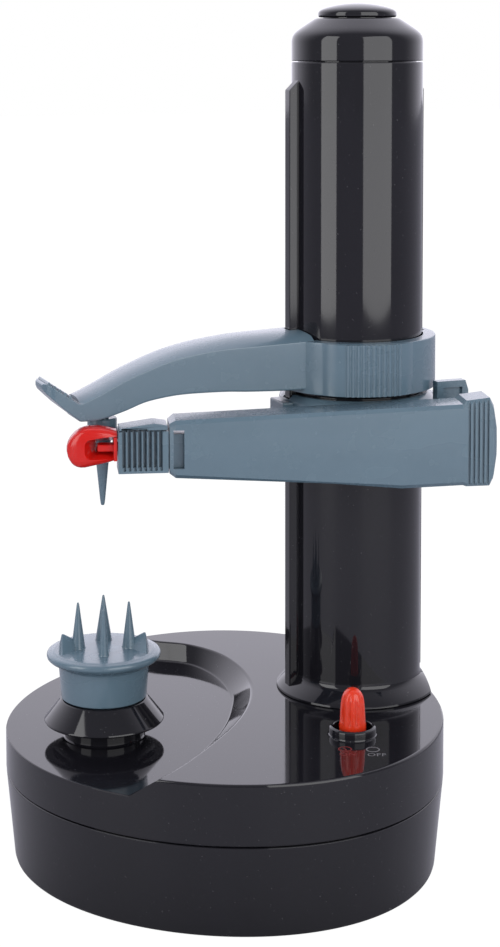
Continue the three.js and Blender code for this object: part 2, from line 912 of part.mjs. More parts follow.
function helixPoints(radius, low, high, turns, x, y, steps = wireSteps) {
  const points = [];
  for (let i = 0; i <= turns * steps; i += 1) {
    const turn = (2 * Math.PI * i) / steps;
    const height = low + ((high - low) * i) / (turns * steps);
    points.push(new THREE.Vector3(x + radius * Math.cos(turn), y + radius * Math.sin(turn), height));
  }
  return points;
}

function buttonSpring() {
  const low = webTop + clearance + buttonSpringWire;
  const high = buttonUnder - buttonEdge - buttonTravel - clearance - buttonSpringWire;
  const points = helixPoints(buttonSpringRadius, low, high, buttonSpringTurns, columnSpacing, 0);
  return wire(points, buttonSpringWire, buttonSpringTurns * wireSteps);
}

// Lead screw

const screwLow = plateTop - plateThickness + clearance;
const threadLow = slotBottom - screwLead;
const threadHigh = carriageTop + threadSpare;

function leadScrew() {
  const coreLow = plateTop + clearance + gearFace + 2 * clearance;
  const coreHigh = tubeTop - capSpigot - clearance;
  const shaft = join(
    cylinder(journalRadius, screwLow, journalTop, columnSpacing, 0, smallSides),
    cylinder(screwCore, coreLow, coreHigh, columnSpacing, 0, threadSteps),
  );
  const sections = [];
  const turns = (threadHigh - threadLow) / screwLead;
  const count = Math.round(turns * threadSteps);
  const root = screwCore - threadRoot;
  for (let i = 0; i <= count; i += 1) {
    const turn = (-2 * Math.PI * i) / threadSteps;
    const height = threadLow + (screwLead * i) / threadSteps;
    const at = (radius, rise) => new THREE.Vector3(
      columnSpacing + radius * Math.cos(turn), radius * Math.sin(turn), height + rise,
    );
    sections.push([at(root, -threadWidth / 2), at(screwCrest, 0), at(root, threadWidth / 2)]);
  }
  return join(shaft, loft(sections));
}

// Gear train

function gearOutline(teeth, phase) {
  const tip = tipRadius(teeth);
  const root = pitchRadius(teeth) - rootShare * gearModule;
  const step = (2 * Math.PI) / teeth;
  const points = [];
  for (let i = 0; i < teeth; i += 1) {
    for (const [share, high] of [...toothShares].reverse()) {
      const turn = phase + step * (i + share);
      const radius = high ? tip : root;
      points.push([radius * Math.cos(turn), radius * Math.sin(turn)]);
    }
  }
  return points;
}

function gear(teeth, phase, low, x, y, bore) {
  const outline = gearOutline(teeth, phase).map(([u, v]) => [x + u, y + v]);
  const web = plate(outline, low, low + gearFace);
  return cut(web, cylinder(bore, low - overrun, low + gearFace + overrun, x, y, smallSides));
}

const idlerSpan = columnSpacing - pitchRadius(spindleTeeth) - pitchRadius(screwTeeth);
const idlerTwoTeeth = Math.round(idlerSpan / gearModule) - idlerOneTeeth;

// Phase of a gear whose gap takes the tooth of the gear that it meets in the direction given.
function meshedPhase(teeth, mate, matePhase, direction) {
  const mateTurn = (direction - matePhase) / ((2 * Math.PI) / mate);
  return direction + Math.PI - ((2 * Math.PI) / teeth) * (0.5 - mateTurn);
}

const idlerOneX = pitchRadius(spindleTeeth) + pitchRadius(idlerOneTeeth);
const idlerTwoX = idlerOneX + pitchRadius(idlerOneTeeth) + pitchRadius(idlerTwoTeeth);
const reductionSpan = pitchRadius(idlerTwoTeeth) + pitchRadius(pinionTeeth);
const reductionX = idlerTwoX + reductionSpan * Math.cos(rad(reductionAngle));
const reductionY = reductionSpan * Math.sin(rad(reductionAngle));
const motorSpan = pitchRadius(reductionTeeth) + pitchRadius(pinionTeeth);
const motorX = reductionX + motorSpan * Math.cos(rad(motorAngle));
const motorY = reductionY + motorSpan * Math.sin(rad(motorAngle));

const idlerOnePhase = meshedPhase(idlerOneTeeth, spindleTeeth, 0, 0);
const idlerTwoPhase = meshedPhase(idlerTwoTeeth, idlerOneTeeth, idlerOnePhase, 0);
const screwPhase = meshedPhase(screwTeeth, idlerTwoTeeth, idlerTwoPhase, 0);
const reductionPhase = meshedPhase(pinionTeeth, idlerTwoTeeth, idlerTwoPhase, rad(reductionAngle));
const motorPhase = meshedPhase(pinionTeeth, reductionTeeth, 0, rad(motorAngle));

function idlerGear(teeth, phase, x) {
  return gear(teeth, phase, lowerFace, x, 0, axleRadius + clearance);
}

function reductionGear() {
  const small = plate(
    gearOutline(pinionTeeth, reductionPhase).map(([u, v]) => [reductionX + u, reductionY + v]),
    lowerFace, upperFace + clearance,
  );
  const large = plate(
    gearOutline(reductionTeeth, 0).map(([u, v]) => [reductionX + u, reductionY + v]),
    upperFace, upperFace + gearFace,
  );
  const bore = cylinder(
    axleRadius + clearance, lowerFace - overrun, upperFace + gearFace + overrun,
    reductionX, reductionY, smallSides,
  );
  return cut(join(small, large), bore);
}

function motorPinion() {
  const body = plate(
    gearOutline(pinionTeeth, motorPhase).map(([u, v]) => [motorX + u, motorY + v]),
    upperFace, upperFace + gearFace,
  );
  const bore = cylinder(
    motorShaft + clearance, upperFace - overrun, upperFace + gearFace + overrun,
    motorX, motorY, smallSides,
  );
  return cut(body, bore);
}

function motor() {
  const high = plateTop - plateThickness - clearance;
  const low = high - motorLength;
  const can = cylinder(motorRadius, low, high, motorX, motorY).intersect(block(
    motorX - motorRadius - overrun, motorX + motorRadius + overrun,
    motorY - motorFlat, motorY + motorFlat, low - overrun, high + overrun,
  ));
  const nose = cylinder(motorBossRadius, high - overrun, plateTop - clearance, motorX, motorY, smallSides);
  const bore = cylinder(motorShaft + clearance, high - motorShaftSeat, plateTop, motorX, motorY, smallSides);
  return cut(join(can, nose), bore);
}

function motorShaftRod() {
  const low = plateTop - plateThickness - motorShaftSeat;
  return cylinder(motorShaft, low, upperFace + gearFace, motorX, motorY, smallSides);
}

function axle(x, y, high) {
  return cylinder(axleRadius, plateTop - plateThickness + clearance, high, x, y, smallSides);
}

const axlePlaces = [
  ['idler_axle_1', idlerOneX, 0, lowerFace + gearFace],
  ['idler_axle_2', idlerTwoX, 0, lowerFace + gearFace],
  ['reduction_axle', reductionX, reductionY, upperFace + gearFace],
];

function gearboxPlate() {
  const low = plateTop - plateThickness;
  const half = plateHalfWidth;
  const deck = join(
    block(0, columnSpacing, -half, half, low, plateTop),
    cylinder(half, low, plateTop, 0, 0, middleSides),
    cylinder(half, low, plateTop, columnSpacing, 0, middleSides),
    cylinder(half, low, plateTop, motorX, motorY, middleSides),
    cylinder(half, low, plateTop, reductionX, reductionY, middleSides),
  );
  const legs = plateLegShares.map(([along, across]) => {
    const x = along < 0 ? along * half : columnSpacing + along * half;
    const top = plateTop - plateThickness / 2;
    return cylinder(plateLegRadius, floorTop + clearance, top, x, across * half, smallSides);
  });
  const hole = (radius, x, y) => cylinder(
    radius + clearance, low - overrun, plateTop + overrun, x, y, smallSides,
  );
  return cut(
    join(deck, ...legs), ...axlePlaces.map(([, x, y]) => hole(axleRadius, x, y)),
    hole(spindleRadius, 0, 0),
    hole(journalRadius, columnSpacing, 0),
    hole(motorBossRadius, motorX, motorY),
  );
}

// Batteries and their contacts

function cellCentre(index) {
  return baseCentreX + (index - (cellCount - 1) / 2) * cellPitch;
}

const cellAxis = floorTop + clearance + cellRadius;

function cell(index) {
  const way = index % 2 === 0 ? 1 : -1;
  const can = new THREE.CylinderGeometry(cellRadius, cellRadius, cellLength, middleSides);
  const nub = new THREE.CylinderGeometry(cellNubRadius, cellNubRadius, 2 * cellNubHeight, smallSides);
  nub.translate(0, (way * cellLength) / 2, 0);
  const body = join(solid(can), solid(nub));
  return body.translate([cellCentre(index), cellRowY - way * (cellNubHeight / 2), cellAxis]);
}

function contactStrip(side) {
  const face = side < 0 ? boxFront + clearance : boxBack - clearance - contactThickness;
  return block(
    boxLeft + boxWall, boxRight - boxWall, face, face + contactThickness,
    floorTop + cellRadius / 2, floorTop + boxHeight,
  );
}

// Screws, feet and bush

function pointedScrew(x, y, headLow, length) {
  return revolve([
    [0, headLow],
    [screwHeadRadius, headLow],
    [screwHeadRadius, headLow + screwHeadHeight / 2],
    [screwShank, headLow + screwHeadHeight],
    [screwShank, headLow + length - 2 * screwShank],
    [0, headLow + length],
  ], x, y, smallSides);
}

function foot(x, y) {
  return revolve([
    [0, 0],
    [footRadius - footThickness, 0],
    [footRadius, footThickness / 2],
    [footRadius, footThickness],
    [0, footThickness],
  ], x, y, middleSides);
}

function footPlaces() {
  return [footAngle, 180 - footAngle, 180 + footAngle, -footAngle].map((angle) => [
    baseCentreX + footRingShare * baseHalfLength * Math.cos(rad(angle)),
    footRingShare * baseHalfWidth * Math.sin(rad(angle)),
  ]);
}

function spindleBush() {
  return ring(
    spindleRadius + clearance, bushRadius, trayFloor - deckThickness, neckTop, 0, 0, smallSides,
  );
}

// Food holder

function foodSkirt() {
  const top = skirtBottom + skirtHeight;
  const wall = cupWall;
  const bore = spindleRadius + clearance;
  const topRadius = cupBottomRadius;
  const bottomRadius = topRadius + skirtFlare;
  return revolve([
    [bore, skirtBottom],
    [bore + 2 * wall, skirtBottom],
    [bore + 2 * wall, top - wall],
    [topRadius - wall, top - wall],
    [bottomRadius - 3 * wall / 2, skirtBottom],
    [bottomRadius - wall / 3, skirtBottom],
    [bottomRadius, skirtBottom + wall / 3],
    [topRadius, top],
    [bore, top],
    [bore, skirtBottom],
  ]);
}

function cupBody() {
  const bore = spindleRadius + clearance;
  const hub = bore + 2 * cupWall;
  const roof = cupDeck - 2 * cupWall;
  const under = cupRimTop - rimWidth;
  const rim = rimShares.map(([out, up]) => [cupTopRadius + rimWidth * out, under + rimWidth * up]);
  return revolve([
    [bore, cupBottom],
    [hub, cupBottom],
    [hub, roof],
    [cupTopRadius - cupWall, roof],
    [cupBottomRadius - cupWall, cupBottom],
    [cupBottomRadius, cupBottom],
    [cupTopRadius, under],
    ...rim,
    [cupTopRadius, cupDeck],
    [0, cupDeck],
    [0, spindleTop + clearance],
    [bore, spindleTop + clearance],
    [bore, cupBottom],
  ]);
}

// An outward fin at a cone's foot, from shares of its reach, width and height.
function fin() {
  const low = cupDeck - clearance;
  return loft(finShares.map(([along, wide, high]) => {
    const x = coneRing - finRoot + finReach * along;
    const half = finHalfWidth * wide;
    return [
      new THREE.Vector3(x, -half, low),
      new THREE.Vector3(x, half, low),
      new THREE.Vector3(x, 0, cupDeck + finHeight * high),
    ];
  }));
}

function foodHolder() {
  const foot = cupDeck - clearance;
  const cone = frustum(coneRadius, coneTip, foot, cupDeck + coneHeight, coneRing, 0, smallSides);
  const tooth = join(cone, fin());
  let holder = cupBody();
  for (let i = 0; i < coneCount; i += 1) {
    holder = join(holder, tooth.rotate([0, 0, coneTurn + (360 / coneCount) * i]));
  }
  return holder;
}

// Switch

const leverPivot = baseTop - leverPivotDrop;
const leverTop = baseTop + leverRise;
const switchBodyTop = leverPivot - leverBall - clearance;

function crossPin(radius, half) {
  const geometry = new THREE.CylinderGeometry(radius, radius, 2 * half, smallSides);
  const placed = solid(geometry).translate([switchX, switchY, leverPivot]);
  return turned(placed, switchTurn, switchX, switchY);
}

function switchLever() {
  const ball = ballAngles.map((angle) => {
    const a = rad(angle);
    return [leverBall * Math.abs(Math.cos(a)), leverPivot + leverBall * Math.sin(a)];
  });
  const domeLow = leverTop - leverTopRadius;
  const dome = domeAngles.map((angle) => {
    const a = rad(angle);
    return [leverTopRadius * Math.cos(a), domeLow + leverTopRadius * Math.sin(a)];
  });
  const body = revolve([
    [0, leverPivot - leverBall],
    ...ball,
    [leverBall, leverPivot],
    [leverRadius, leverPivot + leverBall / 2],
    [leverRadius, collarTop - collarHeight / 2],
    ...dome,
    [0, leverTop],
  ], switchX, switchY, middleSides);
  return cut(body, crossPin(switchPinRadius + clearance, leverRadius + overrun));
}

function switchBody() {
  const halfLength = switchBodyLength / 2;
  const halfWidth = switchBodyWidth / 2;
  const low = switchBodyTop - switchBodyDepth;
  const earTop = leverPivot + switchPinRadius + 2 * clearance;
  const body = block(-halfLength, halfLength, -halfWidth, halfWidth, low, switchBodyTop);
  const ears = [-1, 1].map((side) => {
    const near = leverRadius + clearance;
    const start = side < 0 ? -near - switchEar : near;
    return block(
      -halfWidth / 2, halfWidth / 2, start, start + switchEar, switchBodyTop - switchEar, earTop,
    );
  });
  const terminals = [-1, 0, 1].map((place) => block(
    place * halfWidth - switchEar / 2, place * halfWidth + switchEar / 2,
    -halfWidth / 3, halfWidth / 3, low - 2 * switchEar, low + switchEar,
  ));
  const whole = join(body, ...ears, ...terminals).translate([switchX, switchY, 0]);
  const bore = crossPin(switchPinRadius + clearance, leverRadius + 2 * switchEar + overrun);
  return cut(turned(whole, switchTurn, switchX, switchY), bore);
}

// Carriage

function railCovers(outer, low, high) {
  const half = railWidth / 2 + slidingFit + outer;
  return join(
    block(-tubeRadius - innerRailHeight - slidingFit - outer, 0, -half, half, low, high),
    block(0, tubeRadius + outerRailHeight + slidingFit + outer, -half, half, low, high),
  ).translate([columnSpacing, 0, 0]);
}

function boreWithRails() {
  const low = carriageBottom - overrun;
  const high = upperArmTop + overrun;
  return join(cylinder(columnBore, low, high, columnSpacing, 0), railCovers(0, low, high));
}

function pivotEar(low) {
  const half = earWidth / 2;
  return join(
    cylinder(half, low, low + earThickness, columnSpacing, -pivotOffset, middleSides),
    block(columnSpacing - half, columnSpacing + half, -pivotOffset, -columnBore, low, low + earThickness),
  );
}

function squeezeLug() {
  const near = columnSpacing + lugNear;
  const far = columnSpacing + lugFar;
  const front = -columnBore;
  const back = front + lugThickness;
  const slope = lugMargin / 2;
  const face = profilePlate([
    [near, lugBottom], [far, lugBottom], [far, lugTop - 3 * slope],
    [far - slope, lugTop], [near, lugTop],
  ], front, back);
  const pocket = block(
    near + lugMargin, far - lugMargin, front - overrun, front + lugPocketDepth,
    lugBottom + lugMargin, lugTop - lugMargin,
  );
  const gusset = plate([
    [columnSpacing + columnBore - 4 * lugMargin, -2 * lugMargin],
    [columnSpacing + columnBore + lugMargin, -3 * lugMargin],
    [far, back - clearance],
    [far, front + lugPocketDepth + clearance],
    [near, front + lugPocketDepth + clearance],
    [columnSpacing + columnBore / 2, -columnBore + lugMargin],
  ], lugBottom, carriageTop - lugMargin);
  return join(cut(face, pocket), gusset);
}

function carriage() {
  const body = revolve([
    [0, carriageBottom],
    [carriageRadius, carriageBottom],
    [carriageRadius, carriageTop - carriageChamfer],
    [carriageRadius - carriageChamfer, carriageTop],
    [0, carriageTop],
  ], columnSpacing, 0);
  const solidCarriage = join(
    body, railCovers(carriageRailCover, carriageBottom, carriageTop - carriageChamfer),
    pivotEar(lowerEarBottom), pivotEar(upperEarTop - earThickness), squeezeLug(),
  );
  const bridge = block(
    columnSpacing - slotWidth / 2 + slidingFit, columnSpacing + slotWidth / 2 - slidingFit,
    nutReach + clearance, carriageRadius - slidingFit, bridgeBottom, bridgeTop,
  );
  const pinHole = cylinder(
    pinRadius + clearance, carriageBottom, carriageTop, columnSpacing, -pivotOffset, smallSides,
  );
  return cut(join(cut(solidCarriage, boreWithRails()), bridge), pinHole);
}

function leadNut() {
  const square = block(
    columnSpacing - nutHalfWidth, columnSpacing + nutHalfWidth, -nutHalfWidth, nutReach,
    bridgeBottom, bridgeTop,
  );
  const round = cylinder(nutRound, bridgeBottom, bridgeTop, columnSpacing, 0);
  const bore = cylinder(
    screwCrest + 2 * clearance, bridgeBottom - overrun, bridgeTop + overrun,
    columnSpacing, 0, smallSides,
  );
  return cut(square.intersect(round), bore);
}

// Peeling arm

const armTurn = 180 - armLean;

function placeOnArm(body) {
  return body.rotate([0, 0, armTurn]).translate([columnSpacing, -pivotOffset, 0]);
}

// Lower and upper edge of the arm at a place along it: slim at the blade, deep at the tail.
function armHeights(x) {
  const between = (from, to, share) => from + (to - from) * share;
  if (x < 0) {
    const share = -x / armTail;
    return [between(armRootLow, armTailLow, share), between(armRootHigh, armTailHigh, share)];
  }
  const share = Math.min(1, x / armReach);
  const ease = share * (2 - share) * armBellyShare + share * (1 - armBellyShare);
  return [between(armRootLow, armTipLow, ease), between(armRootHigh, armTipHigh, ease)];
}

function armSection(x, half, lowZ, highZ) {
  const edge = armEdge;
  const mid = (lowZ + highZ) / 2 - edge;
  return [
    [-half, lowZ], [half - edge, lowZ], [half - edge / 4, lowZ + edge], [half, mid],
    [half - edge / 4, highZ - edge], [half - edge, highZ], [-half, highZ],
  ].map(([y, z]) => new THREE.Vector3(x, y, z));
}

function armOuter() {
  const grip = gripLength;
  const tail = -armTail;
  const half = armHalfThickness;
  const edge = armEdge;
  const [endLow, endHigh] = armHeights(tail);
  const [gripLow, gripHigh] = armHeights(tail + grip);
  const [tipLow, tipHigh] = armHeights(armReach);
  const tailMid = (endLow + endHigh) / 2;
  const tailFlat = (endHigh - endLow) / 5;
  const stations = stationShares.map((share) => {
    const [low, high] = armHeights(share * armReach);
    return armSection(share * armReach, half, low, high);
  });
  return loft([
    armSection(tail, half - edge, tailMid - tailFlat, tailMid + tailFlat),
    armSection(tail + edge, half, endLow + 2 * edge, endHigh - 2 * edge),
    armSection(tail + 2 * edge, half, endLow, endHigh),
    armSection(tail + grip, half, gripLow, gripHigh),
    armSection(tail + grip + edge, half, gripLow + edge / 3, gripHigh - edge),
    ...stations,
    armSection(armReach, half - edge, tipLow + edge, tipHigh - edge),
  ]);
}

function armCavity() {
  const inside = (x) => {
    const [low, high] = armHeights(x);
    const lower = low + armWall + armEdge / 3;
    const upper = high - armWall - armEdge;
    return [
      [-armHalfThickness - overrun, lower], [armHalfThickness - armWall, lower],
      [armHalfThickness - armWall, upper], [-armHalfThickness - overrun, upper],
    ].map(([y, z]) => new THREE.Vector3(x, y, z));
  };
  return loft([
    inside(-armTail + armWall + gripLength / 4), inside(-armTail / 2),
    ...cavityShares.map((share) => inside(share * armReach)), inside(armReach - windowInset),
  ]);
}

function armStiffener(share) {
  const x = share * armReach;
  const [low, high] = armHeights(x);
  return block(
    x, x + stiffenerThickness, -armHalfThickness + armWall, armHalfThickness - armWall / 2,
    low + armWall / 2, high - armWall / 2,
  );
}

function pivotBosses() {
  const radius = pinRadius + armWall;
  const [low, high] = armHeights(0);
  return join(
    cylinder(radius, low + armWall / 2, lowerEarBottom - clearance, 0, 0, smallSides),
    cylinder(radius, upperEarTop + clearance, high - armWall / 2, 0, 0, smallSides),
  );
}

function armWindow() {
  const mid = (armTipLow + armTipHigh) / 2;
  const end = armReach - windowInset;
  return block(
    end - windowWidth, end, 0, armHalfThickness + overrun,
    mid - windowHeight / 2, mid + windowHeight / 2,
  );
}

// The hollow that the cartridge's tongue slides in.
function armMouth() {
  const half = tongueHalfThickness + clearance;
  const halfHeight = tongueHeight / 2 + clearance;
  return block(
    armReach - tongueLength - overrun, armReach + overrun, -half, half,
    blockMid - halfHeight, blockMid + halfHeight,
  );
}

function gripGrooveCut(index) {
  const span = gripLength - 2 * armEdge;
  const x = -armTail + 2 * armEdge + (span * (2 * index + 1)) / (2 * gripRibs);
  const face = armHalfThickness - armEdge / 4;
  return block(
    x - gripGroove / 2, x + gripGroove / 2, face - gripGrooveDepth, face + overrun,
    armTailLow - overrun, armTailHigh + overrun,
  );
}

function peelingArm() {
  const bore = cylinder(
    pinRadius + clearance, pinLow - clearance, pinHigh + clearance, 0, 0, smallSides,
  );
  const grooves = Array.from({ length: gripRibs }, (_, i) => gripGrooveCut(i));
  const arm = join(
    cut(armOuter(), armCavity()), ...stiffenerShares.map(armStiffener), pivotBosses(),
  );
  return placeOnArm(cut(arm, armWindow(), armMouth(), bore, ...grooves));
}

const pinLow = armHeights(0)[0] + armWall;
const pinHigh = armHeights(0)[1] - armWall;

function pivotPin() {
  return cylinder(pinRadius, pinLow, pinHigh, columnSpacing, -pivotOffset, smallSides);
}

function torsionSpring() {
  const low = lowerEarBottom + earThickness + clearance + springWire;
  const high = upperEarTop - earThickness - clearance - springWire;
  const coil = helixPoints(springRadius, low, high, springTurns, columnSpacing, -pivotOffset);
  const first = coil[0];
  const last = coil[coil.length - 1];
  const legStart = new THREE.Vector3(first.x, first.y - springWire, first.z);
  const legEnd = new THREE.Vector3(last.x, last.y + springLeg / 2, last.z);
  return wire([legStart, ...coil, legEnd], springWire, (springTurns + 1) * wireSteps);
}

// Blade cartridge, in the arm's frame

const blockStart = armReach + clearance;
const blockEnd = blockStart + blockLength;
const bladeLow = guardMid - windowTall / 2 + clearance;
const bladeHigh = guardMid + windowTall / 2 - clearance;

function bladeLegs(grow, start, end) {
  const half = bladeLeg / 2 + grow;
  return [bladeLow + bladeLeg / 2, bladeHigh - bladeLeg / 2].map((z) => block(
    start, end, -bladeOffset - half, -bladeOffset + half, z - half, z + half,
  ));
}

function guardSpurBlock(grow, start, end) {
  const half = guardSpurHeight / 2 + grow;
  const wide = guardHalfThickness / 2 + grow;
  return block(start, end, -wide, wide, guardMid - half, guardMid + half);
}

function blockGroove(index, side) {
  const pitch = blockLength / (blockGrooves + grooveSpareShare);
  const x = blockEnd - pitch * (index + grooveStartShare);
  const low = blockMid - blockHeight / 2 + blockGrooveWidth;
  const high = blockMid + blockHeight / 2 + overrun;
  const floor = blockHalfThickness - blockGrooveDepth;
  const [near, far] = [side * floor, side * (blockHalfThickness + overrun)];
  return block(
    x - blockGrooveWidth / 2, x + blockGrooveWidth / 2, Math.min(near, far), Math.max(near, far),
    low, high,
  );
}

function bladeBlock() {
  const low = blockMid - blockHeight / 2;
  const high = blockMid + blockHeight / 2;
  const grooves = [];
  for (let i = 0; i < blockGrooves; i += 1) {
    grooves.push(blockGroove(i, -1), blockGroove(i, 1));
  }
  const body = join(
    block(blockStart, blockEnd, -blockHalfThickness, blockHalfThickness, low, high),
    block(
      blockStart - tongueLength, blockStart + overrun, -tongueHalfThickness, tongueHalfThickness,
      blockMid - tongueHeight / 2, blockMid + tongueHeight / 2,
    ),
  );
  return placeOnArm(cut(
    body, ...grooves, ...bladeLegs(clearance, blockEnd - bladeSeat - clearance, blockEnd + overrun),
    guardSpurBlock(clearance, blockEnd - guardSpur - clearance, blockEnd + overrun),
  ));
}

function blockCover() {
  const low = blockMid + blockHeight / 2 + clearance;
  const half = blockHalfThickness - clearance;
  const start = blockStart + clearance;
  const length = blockLength - 2 * clearance;
  const outline = coverShares.map(([along, up]) => [start + length * along, low + coverHeight * up]);
  const body = profilePlate(outline, -half, half);
  const slot = block(
    start + length * coverSlotShare, start + length - clearance - armEdge / 2,
    half - armEdge, half + overrun, low - overrun, low + coverHeight / 4,
  );
  return placeOnArm(cut(body, slot));
}

function bladeGuard() {
  const start = blockEnd + clearance;
  const outline = guardShares.map(([along, up]) => [
    start + along * guardLength, guardMid + up * guardHeight,
  ]);
  const side = profilePlate(outline, -guardHalfThickness, guardHalfThickness);
  const half = noseShares.map(([along, wide]) => [
    start + along * guardLength, wide * guardHalfThickness,
  ]);
  const mirrored = half.map(([x, y]) => [x, -y]).reverse();
  const nose = plate([...half, ...mirrored], guardMid - guardHeight, guardMid + guardHeight);
  const window = block(
    start - overrun, start + windowLength, -guardHalfThickness - overrun, guardHalfThickness + overrun,
    guardMid - windowTall / 2, guardMid + windowTall / 2,
  );
  const cheek = block(
    start, start + cheekLength, -guardHalfThickness, guardHalfThickness,
    guardMid - windowTall / 2 - clearance, guardMid + windowTall / 2 + clearance,
  );
  const legSlots = bladeLegs(clearance, start - overrun, start + guardLength);
  const tongue = guardSpurBlock(0, blockEnd - guardSpur, start + guardTongue);
  const body = join(cut(side.intersect(nose), window), cut(cheek, ...legSlots), tongue);
  return placeOnArm(body);
}

function blade() {
  const start = blockEnd - bladeSeat;
  const end = blockEnd + clearance + windowLength - bladeWidth / 2;
  const legs = bladeLegs(0, start, end);
  const half = bladeWidth / 2;
  const sheet = plate([
    [-half, -bladeThickness / 2], [half - bladeThickness, -bladeThickness / 2],
    [half, 0], [half - bladeThickness, bladeThickness / 2], [-half, bladeThickness / 2],
  ], bladeLow, bladeHigh);
  const slanted = sheet.rotate([0, 0, -bladeSlant]).translate([end - bladeThickness, -bladeOffset, 0]);
  return placeOnArm(join(legs[0], slanted, legs[1]));
}

// Upper arm with its ring

function padRadius(angle) {
  const ramp = (padEnd - padStart) * padRampShare;
  if (angle < padStart || angle > padEnd) {
    return ringRadius;
  }
  const rise = Math.min(1, (angle - padStart) / ramp, (padEnd - angle) / ramp);
  return ringRadius + padHeight * rise;
}

function ringOutline() {
  const points = [];
  const step = 360 / outlineSides;
  for (let angle = padEnd + step / 2; angle < padStart + 360; angle += step) {
    points.push([ringRadius, angle]);
  }
  const flank = (padRibStart - padStart) / 4;
  for (const angle of [padStart, padStart + flank, padStart + 2 * flank, padStart + 3 * flank]) {
    points.push([padRadius(angle), angle]);
  }
  const ribStep = (padRibEnd - padRibStart) / padRibs;
  for (let i = 0; i < padRibs; i += 1) {
    const angle = padRibStart + ribStep * i;
    for (const [along, up] of padRibShares) {
      points.push([padRadius(angle) + padRibHeight * up, angle + ribStep * along]);
    }
  }
  points.push([padRadius(padRibEnd + flank / 4), padRibEnd + flank / 4]);
  points.push([ringRadius, padEnd]);
  return points.map(([radius, angle]) => [
    columnSpacing + radius * Math.cos(rad(angle)), radius * Math.sin(rad(angle)),
  ]);
}

function beamSection([along, width, fall, drop, crest]) {
  const start = -upperReach;
  const end = columnSpacing - columnBore + tubeWall;
  const x = start + (end - start) * along;
  const half = upperEndHalfWidth + (upperRootHalfWidth - upperEndHalfWidth) * width;
  const low = upperUnderside + (upperEndUnderside - upperUnderside) * fall;
  const high = upperArmEndTop + (upperArmTop - upperArmEndTop) * crest;
  const side = high - (upperArmTop - ringBottom) * drop;
  const shoulder = high - (high - side) / 5;
  const edge = armEdge / 2;
  const inset = half * crestShare;
  return [
    [-half, low + edge], [-half + edge, low], [half - edge, low], [half, low + edge],
    [half, side], [inset, shoulder], [0, high], [-inset, shoulder], [-half, side],
  ].map(([y, z]) => new THREE.Vector3(x, y, z));
}

function thumbTab() {
  const root = -upperReach + upperEndHalfWidth / 2;
  const tipX = -upperReach - tabReach;
  const under = upperEndUnderside + tabInset;
  const tipLow = upperArmEndTop + tabRise - 2 * tabTipRadius;
  const valley = upperArmEndTop - 2 * tabInset;
  const outline = [
    [root, under], [-upperReach + tabInset, under], [tipX, tipLow],
    [tipX - tabInset, tipLow + tabTipRadius], [tipX + tabInset, tipLow + 2 * tabTipRadius],
    ...tabStepPoints(tipX), [-upperReach, valley], [root, valley],
  ];
  const slab = profilePlate(outline, -upperEndHalfWidth, upperEndHalfWidth);
  return slab.intersect(tabPlan(root, tipX));
}

function tabStepPoints(tipX) {
  const points = [];
  for (let i = 0; i < tabSteps; i += 1) {
    const share = (i + tabStartShare) / (tabSteps + 2 * tabStartShare);
    const x = tipX + 2 * tabTipRadius + (tabReach - 3 * tabTipRadius) * share;
    const z = upperArmEndTop + tabRise * (1 - share) - tabInset;
    points.push([x, z + tabStep], [x + tabStep, z]);
  }
  return points;
}

function tabPlan(root, tipX) {
  const corner = upperEndHalfWidth / 2;
  return plate([
    [root + overrun, -upperEndHalfWidth], [root + overrun, upperEndHalfWidth],
    [tipX + corner, upperEndHalfWidth], [tipX + corner / 3, upperEndHalfWidth - corner / 3],
    [tipX - overrun, upperEndHalfWidth - corner], [tipX - overrun, -upperEndHalfWidth + corner],
    [tipX + corner / 3, -upperEndHalfWidth + corner / 3], [tipX + corner, -upperEndHalfWidth],
  ], upperEndUnderside - overrun, upperArmTop);
}

function upperArm() {
  const beam = loft(beamShares.map(beamSection));
  const collar = plate(ringOutline(), ringBottom, ringTop);
  const railHood = railCovers(railCover, ringBottom, ringTop);
  const whole = join(collar, railHood, beam, thumbTab());
  const shaftHole = cylinder(
    spikeShaft + clearance, upperEndUnderside - overrun,
    upperEndUnderside + spikeShaftLength + clearance, 0, 0, smallSides,
  );
  return cut(whole, boreWithRails(), shaftHole);
}

function upperSpike() {
  const hubTop = upperEndUnderside - clearance;
  const hubLow = hubTop - spikeHubHeight;
  return revolve([
    [0, hubLow - spikeLength],
    [spikeTip, hubLow - spikeLength],
    [spikeRoot, hubLow],
    [spikeHub - clearance, hubLow],
    [spikeHub, hubLow + clearance],
    [spikeHub, hubTop],
    [spikeShaft, hubTop],
    [spikeShaft, hubTop + spikeShaftLength],
    [0, hubTop + spikeShaftLength],
  ], 0, 0, middleSides);
}

// The pieces

add('base_lower_shell', lowerShell(), black, 0.2);
add('base_top_cover', topCover(), black, 0.15);
add('battery_door', batteryDoor(), black, 0.35);
bossPlaces().forEach(([x, y], i) => {
  add(`base_screw_${i + 1}`, pointedScrew(x, y, floorTop, baseScrewLength), darkSteel, 0.4, 0.9);
});
add('door_screw', pointedScrew(doorScrewX, cellRowY, doorScrewLow, doorScrewLength), darkSteel, 0.4, 0.9);
footPlaces().forEach(([x, y], i) => {
  add(`rubber_foot_${i + 1}`, foot(x, y), rubber, 0.9);
});
for (let i = 0; i < cellCount; i += 1) {
  add(`battery_${i + 1}`, cell(i), brass, 0.4, 0.5);
}
add('contact_strip_front', contactStrip(-1), steel, 0.3, 1);
add('contact_strip_rear', contactStrip(1), steel, 0.3, 1);

